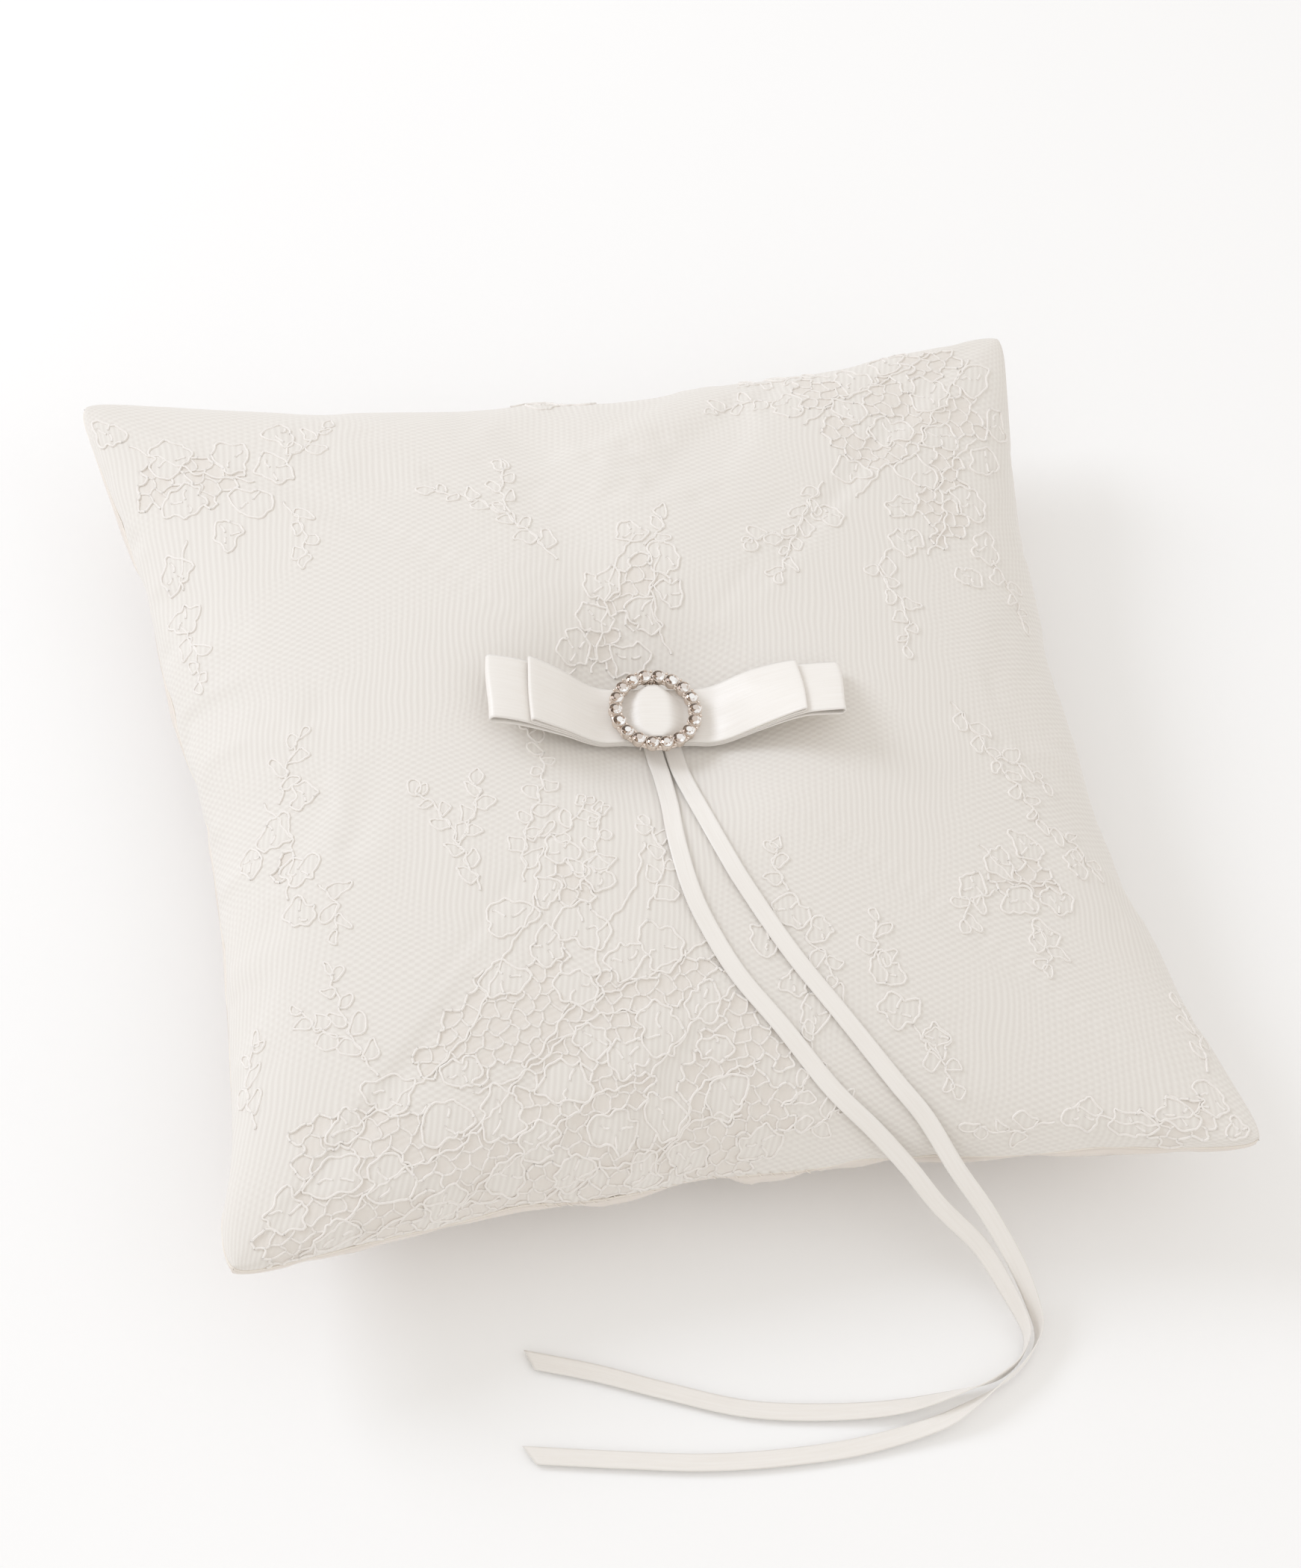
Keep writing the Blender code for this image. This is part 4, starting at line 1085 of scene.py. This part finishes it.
def foiled_glass():
    """Machine-cut glass on a foiled back, with painted reflections: each facet is painted its own
    light or dark, from dark brown through champagne to white.
    """
    material, tree, shader = start_material(
        "foil_backed_cut_glass", Metallic=0.75, Roughness=0.06, Coat_Weight=1.0,
        Coat_Roughness=0.02)
    facet = add_node(tree, "Attribute", attribute_name="facet")
    # Painted reflections: each facet's painted tone picks a colour from dark brown to white.
    painted_reflection_ramp = add_node(tree, "ValToRGB", {"Fac": facet.outputs["Fac"]})
    stops = painted_reflection_ramp.color_ramp.elements
    stops[0].position, stops[0].color = 0.0, colour("#54402F")
    stops[1].position, stops[1].color = 0.85, colour("#FFFFFF")
    middle = stops.new(0.45)
    middle.color = colour("#BBA18C")
    feed(shader, {"Base Color": painted_reflection_ramp})
    return material


def sewing_thread():
    """Spun polyester thread, ivory, with a soft twist."""
    return lace_cord("spun_polyester_thread", ("#E9E1D6", "#F6F0E8"))


def pale_floor():
    """White paper sweep, matt, with the least unevenness."""
    return grained("white_paper_sweep", {"Scale": 3.0}, ("#FAFAFA", "#FFFFFF"),
                   Roughness=0.9)[0]


# ---- cushion pieces
def build_cushion(thread):
    """The cushion's pieces by a short name: lace, panels, fibre and both stitch lines."""
    p, q = flat_grid(LACE_CELLS)
    face = front_face(p, q)
    normals = face_normals(face)
    threads, petal, net = build_lace_threads(p, q)
    face = face + (PETAL_RISE * petal - NET_SINK * net)[..., None] * normals
    cut = np.stack([p, q], axis=-1) / MM
    pieces = {"lace": mesh_piece("lace_front", face, grid_faces(*p.shape), lace_over_satin(),
                                 uv=cut, values={"petal": petal, "net": net})}
    p, q = flat_grid(SATIN_CELLS)
    cut = np.stack([p, q], axis=-1) / MM
    face = front_face(p, q)
    under = face - SATIN_DEPTH * face_normals(face)
    faces = grid_faces(*p.shape)
    # Front and back are one satin; the back's shades are painted darker: painted shade on the
    # underside.
    for name, points, quads, shades in (
            ("front", under, faces, ("#EDE6DC", "#F4EEE6")),
            ("back", back_face(p, q), faces[:, ::-1], ("#E4DBD2", "#EBE3DB"))):
        satin = bridal_satin(name + "_bridal_satin", shades)
        panel = mesh_piece(name + "_satin", points, quads, satin, uv=cut)
        pieces[name] = thicken(panel, SATIN_THICKNESS)
    pieces["fibre"] = build_fibre()
    pieces["seam"] = seam_stitches(thread)
    pieces["closing"] = closing_stitches(thread)
    return pieces, threads


def build_fibre():
    """The wad of fibre: both faces drawn in, and welded round the seam."""
    p, q = flat_grid(FIBRE_CELLS)
    p, q = p * FIBRE_SHRINK, q * FIBRE_SHRINK
    front, back = front_face(p, q), back_face(p, q)
    front = front - FIBRE_DEPTH * face_normals(front)
    back = back + FIBRE_DEPTH * face_normals(back)
    n = FIBRE_CELLS + 1
    edge = np.zeros((n, n), dtype=bool)
    edge[[0, -1], :] = edge[:, [0, -1]] = True
    front[edge] = 0.5 * (front + back)[edge]
    points, faces, _ = welded(front, back, edge)
    return mesh_piece("fibre_filling", points, faces, loose_fibre())


def seam_stitches(material):
    """The line of lock stitches inside the seam."""
    line = np.linspace(-1, 1, SEAM_STOPS, endpoint=False)
    full = np.ones_like(line)
    p = np.concatenate([line, full, -line, -full]) * SEAM_SHARE * FLAT_HALF
    q = np.concatenate([-full, line, full, -line]) * SEAM_SHARE * FLAT_HALF
    path = 0.5 * (front_face(p, q) + back_face(p, q))
    ahead = unit(np.roll(path, -1, axis=0) - np.roll(path, 1, axis=0))
    side = unit(np.cross(ahead, [0.0, 0.0, 1.0]))
    ring = tube(path, side, np.cross(side, ahead), SEAM_THREAD, SEAM_THREAD, 6, closed=True)
    return mesh_piece("seam_stitches", *ring, material)


def closing_stitches(material):
    """Slip stitches on the near side: short slanting stitches between the two panels."""
    parts = []
    share = np.linspace(0, 1, 7)
    for k in range(int((CLOSING_LAST - CLOSING_FIRST) / CLOSING_PITCH)):
        p = CLOSING_FIRST + (k + 0.55 * share) * CLOSING_PITCH
        q = np.full_like(p, -FLAT_HALF * 0.9995)
        blend = (0.15 + 0.70 * share)[:, None]
        path = front_face(p, q) * (1 - blend) + back_face(p, q) * blend
        path[:, 1] -= 0.00005 + 0.00018 * np.sin(math.pi * share)
        path[:, 2] += 0.0005 * (1 - 2 * share)
        ahead = unit(np.gradient(path, axis=0))
        side = unit(np.cross(ahead, [0.0, 1.0, 0.0]))
        parts.append(tube(path, side, np.cross(side, ahead), CLOSING_THREAD, CLOSING_THREAD, 6))
    return mesh_piece("closing_stitches", *joined(parts), material)


# ---- bow
def bow_place(s, w):
    """Plan of a point s along and w across the bow."""
    x = BOW_X + s * math.cos(BOW_TURN) - w * math.sin(BOW_TURN)
    y = BOW_Y + s * math.sin(BOW_TURN) + w * math.cos(BOW_TURN)
    return x, y


def opening_share(s, reach):
    return (np.maximum(0, np.abs(s) - BUCKLE_REACH) / (reach - BUCKLE_REACH)) ** 1.3


def loop_profile(length, lower, upper, opening, grounding):
    """Once round a flattened loop: s, height and which ply, 0 below to 1 above.

    Both plies run flat under the buckle and part evenly towards the ends, where each turns
    into the other round a half circle.
    """
    fold = opening / 2
    reach = length / 2 - fold
    share = np.linspace(-1, 1, 85)
    s = reach * share * (0.55 + 0.45 * share ** 2)
    out = opening_share(s, reach)
    low = lower - grounding * out
    high = upper + (lower - grounding + opening - upper) * out
    turn = np.linspace(0, math.pi, 13)[1:-1]
    middle = lower - grounding + fold
    around_s = reach + fold * np.sin(turn)
    around_h = fold * np.cos(turn)
    rise = 0.5 - 0.5 * np.cos(turn)
    return (np.concatenate([s, around_s, s[::-1], -around_s]) + BOW_SHIFT,
            np.concatenate([low, middle - around_h, high[::-1], middle + around_h]),
            np.concatenate([0 * s, rise, 1 + 0 * s, 1 - rise]))


def build_loop(name, profile, material, arched, phase):
    """A satin loop: the profile carried across the ribbon's width.

    Over that go a roll of each end, soft pleats beside the buckle, a rounded lozenge where
    the top ply passes over the bar inside the ring, and a slight sway of the ends.
    """
    s, height, ply = (a[:, None] for a in profile)
    out = np.abs(s)
    t = np.linspace(-1, 1, LOOP_STRANDS)[None, :]
    taper = smoothstep((out - WAIST_HALF_LENGTH) / (WAIST_TAPER_END - WAIST_HALF_LENGTH))
    w = (WAIST_WIDTH + (RIBBON_WIDTH - WAIST_WIDTH) * taper) / 2 * t
    end = smoothstep((out - END_START) / END_RUN)
    sway = END_SWAY * np.sign(s) * np.sin(2.2 * t + phase) + END_FAN * w * (1 - ply / 2)
    x, y = bow_place(s + sway * end, w)
    ground = lace_height(*bow_place(s, 0 * t))
    right_roll = math.tan(RIGHT_ROLL) * smoothstep((s - 0.012) / END_RUN)
    left_roll = math.tan(LEFT_ROLL) * smoothstep((-s - 0.014) / END_RUN)
    lean = (ROLL_AXIS - w) * (right_roll + left_roll)
    waves = np.cos(math.pi * 2.3 * t + phase) * (1 - t * t) * (0.4 + 0.6 * ply)
    pleat = PLEAT_HEIGHT * bell(out - PLEAT_PLACE, PLEAT_SPREAD) * waves
    over = ply if arched else 0.0 * s
    stack = STACK_RISE * (over + (1 - over) * smoothstep((out - 0.002) / 0.006))
    lift = (ARM_RISE * smoothstep((out - 0.0094) / 0.010)
            + LEFT_LIFT * smoothstep((-s - 0.014) / 0.020)
            - RIGHT_DROP * smoothstep((s - 0.014) / 0.020))
    span = ARCH_HALF_LENGTH - ARCH_EDGE * t ** 4
    arch = ARCH_HEIGHT * over * smoothstep((span - out) / (0.62 * span))
    belly = LOOP_BELLY * ply * end * np.cos(0.5 * math.pi * t)
    z = ground + height + lean + pleat + arch + stack + lift + belly
    points = np.stack([x + 0 * z, y + 0 * z, z], axis=-1)
    along = arc_lengths(points[:, LOOP_STRANDS // 2])[:, None]
    uv = np.stack([along + 0 * w, w], axis=-1) / MM
    selvage = smoothstep((np.abs(t) - 0.93) / 0.04) + 0 * s
    faces = grid_faces(*z.shape, closed_rows=True)
    loop = mesh_piece(name, points, faces, material, uv=uv, values={"selvage": selvage})
    return thicken(loop, RIBBON_THICKNESS, 0.0)


def build_bow(ribbon):
    """Both loops with their nodes, the short one resting on the long one."""
    rise = LONG_OPENING - LAYER_STEP - GROUNDING
    share = float(opening_share(np.array(SHORT_LENGTH / 2), (LONG_LENGTH - LONG_OPENING) / 2))
    low = LONG_LOWER + LAYER_STEP * np.arange(4)
    long_profile = loop_profile(LONG_LENGTH, low[0], low[1], LONG_OPENING, GROUNDING)
    short_profile = loop_profile(SHORT_LENGTH, low[2], low[3], SHORT_OPENING,
                                 -rise * share - 0.0003)
    return ((build_loop("bow_long_ribbon", long_profile, ribbon, False, 0.4), "bow_long_loop"),
            (build_loop("bow_short_ribbon", short_profile, ribbon, True, 1.9), "bow_short_loop"))


# ---- streamers
def build_streamer(name, route, material):
    """A flat ribbon along its route: a closed strip, cupped a little, with a slanted cut."""
    line = smooth_line(np.array(route), 0.0011)
    path, roll = line[:, :3], np.radians(line[:, 3])
    ahead = unit(np.gradient(path, axis=0))
    level = unit(np.cross(ahead, [0.0, 0.0, 1.0]))
    upright = np.cross(level, ahead)
    c, s = np.cos(roll)[:, None], np.sin(roll)[:, None]
    right, up = level * c - upright * s, upright * c + level * s
    t = np.linspace(-1, 1, STREAMER_STRANDS)
    half = STREAMER_WIDTH / 2
    length = arc_lengths(path)[:, None]
    strips = []
    for face in (1, -1):
        wall = face * 0.5 * STREAMER_THICKNESS * (1 - 0.35 * t ** 8)
        rise = STREAMER_CUP * (t * t - 0.4) + wall
        strips.append(path[:, None] + half * t[None, :, None] * right[:, None]
                      + rise[None, :, None] * up[:, None])
    ring = np.concatenate([strips[0], strips[1][:, ::-1]], axis=1)
    across = np.concatenate([t, t[::-1]])
    slant = CUT_SLANT * across * smoothstep((length - length[-1] + CUT_RUN) / CUT_RUN)
    ring = ring + slant[..., None] * ahead[:, None]
    sides = ring.shape[1]
    faces = grid_faces(len(path), sides, closed_cols=True).tolist()
    last = (len(path) - 1) * sides
    for k in range(STREAMER_STRANDS - 1):
        end = np.array([k, k + 1, sides - 2 - k, sides - 1 - k])
        faces.append(end[[1, 0, 3, 2]].tolist())
        faces.append((last + end).tolist())
    uv = np.stack([length + 0 * across, half * across + 0 * length], axis=-1) / MM
    selvage = smoothstep((np.abs(across) - 0.80) / 0.1) + 0 * length
    piece = mesh_piece(name, ring, faces, material, uv=uv, values={"selvage": selvage})
    return piece, path, float(length[-1, 0])


def build_tack(material):
    """The staple of thread over the streamers' upper ends."""
    floor = float(lace_height(np.array([TACK_LEFT]), np.array([TACK_Y]))[0]) + 0.0003
    stops = np.array([(TACK_LEFT, floor), (TACK_LEFT, TACK_TOP - 0.0002),
                      (TACK_LEFT + 0.0006, TACK_TOP), (TACK_RIGHT - 0.0006, TACK_TOP),
                      (TACK_RIGHT, TACK_TOP - 0.0002), (TACK_RIGHT, floor)])
    path = smooth_line(np.insert(stops, 1, TACK_Y, axis=1), 0.0002)
    ahead = unit(np.gradient(path, axis=0))
    side = np.tile([0.0, 1.0, 0.0], (len(path), 1))
    staple = tube(path, side, np.cross(ahead, side), TACK_THREAD, TACK_THREAD, 8)
    return mesh_piece("streamer_tack", *staple, material)


# ---- buckle
def placed(points, x, y, z, turn):
    """Points turned about Z and moved."""
    c, s = math.cos(turn), math.sin(turn)
    spin = np.array([[c, s, 0], [-s, c, 0], [0, 0, 1]])
    return np.asarray(points) @ spin + np.array([x, y, z])


def build_casting(material, ground):
    """Ring of cups with bead prongs between them, a round plate below and a bar across."""
    cup, cup_faces = turned(CUP_PROFILE, 24)
    bead, bead_faces = turned(BEAD_PROFILE, 10)
    parts = []
    for angle in STONE_ANGLES:
        x, y = polar(STONE_PITCH_RADIUS, angle)
        parts.append((placed(cup, x, y, 0.0, angle), cup_faces))
        between = angle + math.pi / STONE_COUNT
        for step in BEAD_STEPS:
            x, y = polar(STONE_PITCH_RADIUS + step, between)
            parts.append((placed(bead, x, y, BEAD_HEIGHT, between), bead_faces))
    turn = np.linspace(0, 2 * math.pi, 120, endpoint=False)
    ring = np.stack([np.cos(turn), np.sin(turn), 0 * turn], axis=1)
    path = ring * STONE_PITCH_RADIUS + np.array([0, 0, 0.0005])
    up = np.tile([0.0, 0.0, 1.0], (len(path), 1))
    parts.append(tube(path, ring, up, 0.0022, 0.0009, 10, closed=True))
    w = np.linspace(-STONE_PITCH_RADIUS, STONE_PITCH_RADIUS, 25)
    bar = np.stack([0 * w, w, 0 * w + BAR_MIDDLE - RING_BOTTOM], axis=1)
    side = np.tile([1.0, 0.0, 0.0], (len(bar), 1))
    parts.append(tube(bar, side, up[:len(bar)], 0.0010, 0.0014, 12))
    points, faces = joined(parts)
    points = placed(points, BOW_X, BOW_Y, ground + RING_BOTTOM, BOW_TURN)
    return outwards(mesh_piece("buckle_casting", points, faces, material))


def outwards(obj):
    """Turn each closed body of a mesh outwards."""
    bm = bmesh.new()
    bm.from_mesh(obj.data)
    bmesh.ops.recalc_face_normals(bm, faces=bm.faces)
    bm.to_mesh(obj.data)
    bm.free()
    return obj


def stone_shape():
    """A round brilliant: table, stars, kites, girdle facets and a shallow back.

    Its rings have 8, 8, 16 and 16 points, the second turned half a step from the first.
    """
    points = [(*polar(share * STONE_RADIUS, math.radians(first + k * 360 / count)), height)
              for count, share, height, first in STONE_RINGS for k in range(count)]
    points.append((0.0, 0.0, STONE_BOTTOM))
    faces = [list(range(8))]
    for k in range(8):
        kite, star = 16 + 2 * k, 8 + k
        faces += [[k, star, (k + 1) % 8], [k, 8 + (k - 1) % 8, kite, star],
                  [star, kite, kite + 1], [star, kite + 1, 16 + (2 * k + 2) % 16]]
    for k in range(16):
        after = (k + 1) % 16
        faces += [[16 + k, 32 + k, 32 + after, 16 + after], [32 + k, 48, 32 + after]]
    return np.array(points), faces


def build_stones(material, ground):
    """One faceted stone a cup, each turned its own way, with a painted light or dark per facet:
    painted reflections.
    """
    shape, faces = stone_shape()
    height = ground + RING_BOTTOM + CUP_HEIGHT - STONE_SINK
    stones = []
    for k, angle in enumerate(STONE_ANGLES):
        points = placed(shape, *polar(STONE_PITCH_RADIUS, angle), 0.0, 0.9 * k)
        points = placed(points, BOW_X, BOW_Y, height, BOW_TURN)
        name = "stone_%02d" % (k + 1)
        stone = outwards(mesh_piece(name, points, faces, material, smooth=False))
        rng = np.random.default_rng(100 + k)
        centres = np.array([points[face].mean(axis=0) for face in faces]) - points.mean(axis=0)
        # Painted reflections: facets towards the stone's right and near side are painted lighter,
        # each with a random spread.
        away = (0.75 * centres[:, 0] - 0.65 * centres[:, 1]) / STONE_RADIUS
        painted_reflection_tones = np.clip(0.42 + 0.75 * away + rng.uniform(-0.35, 0.35, len(faces)), 0, 1)
        painted_reflection_tones[0] = 0.55 + 0.4 * rng.random()
        facet = stone.data.attributes.new("facet", "FLOAT", "FACE")
        facet.data.foreach_set("value", painted_reflection_tones.astype(np.float32))
        stones.append(stone)
    return stones


# ---- stage
def build_stage():
    """A pale sweep, soft light from the upper left, and the camera above the near side."""
    corners = [(x * FLOOR_HALF, y * FLOOR_HALF, FLOOR_Z)
               for x, y in ((-1, -1), (1, -1), (1, 1), (-1, 1))]
    mesh_piece("floor", corners, [[0, 1, 2, 3]], pale_floor())
    scene = bpy.context.scene
    scene.world = bpy.data.worlds.new("studio")
    scene.world.use_nodes = True
    sky = scene.world.node_tree.nodes["Background"]
    feed(sky, {"Color": colour("#FFFCF8"), "Strength": 0.84})
    for name, place, size, power in LAMPS:
        data = bpy.data.lights.new(name, "AREA")
        data.shape = "DISK"
        data.size = size
        data.energy = power
        data.color = colour("#EAF2FF")[:3]
        lamp = link_new(name, data)
        lamp.location = place
        aim = Vector((0.0, 0.0, 0.02)) - Vector(place)
        lamp.rotation_euler = aim.to_track_quat("-Z", "Y").to_euler()
    camera = bpy.data.cameras.new("camera")
    camera.sensor_width = 36.0
    camera.lens = 92.57
    camera.clip_start = 0.01
    eye = link_new("camera", camera)
    back = Vector((-0.2341, -0.5179, 0.8228)).normalized()
    right = Vector((0.9674, -0.2085, 0.1440))
    right = (right - back * right.dot(back)).normalized()
    turn = Matrix((right, back.cross(right), back)).transposed()
    eye.matrix_world = Matrix.Translation((-0.1860, -0.4138, 0.6781)) @ turn.to_4x4()
    scene.camera = eye
    scene.view_settings.view_transform = "Standard"


# ---- assembly
def assign(piece, node, body):
    """Hide the CAD node a piece stands for, and hang the piece on the body it moves with."""
    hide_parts(node)
    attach(piece, body)


def main():
    build_stage()
    ribbon = ribbon_satin()
    for side, route in (("left", STREAMER_LEFT_ROUTE), ("right", STREAMER_RIGHT_ROUTE)):
        piece, path, length = build_streamer("streamer_%s_ribbon" % side, route, ribbon)
        assign(piece, "streamer_" + side, "pillow")
    thread = sewing_thread()
    cushion, threads = build_cushion(thread)
    for key, node, slot in (("lace", "lace_overlay", "corded_lace"),
                            ("front", "front_panel", "ivory_satin"),
                            ("back", "back_panel", "ivory_satin"),
                            ("fibre", "polyester_filling", "polyester_fibre"),
                            ("seam", "seam_thread", "sewing_thread"),
                            ("closing", "closing_thread", "sewing_thread")):
        assign(cushion[key], node, "pillow")
    for piece in threads:
        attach(piece, "pillow")
    for loop, node in build_bow(ribbon):
        assign(loop, node, "pillow")
    assign(build_tack(thread), "streamer_stitch", "pillow")
    ground = float(lace_height(np.array([BOW_X]), np.array([BOW_Y]))[0])
    assign(build_casting(plated_silver(), ground), "buckle_frame", "buckle")
    for k, stone in enumerate(build_stones(foiled_glass(), ground)):
        assign(stone, "rhinestone_%02d" % (k + 1), "buckle")


main()
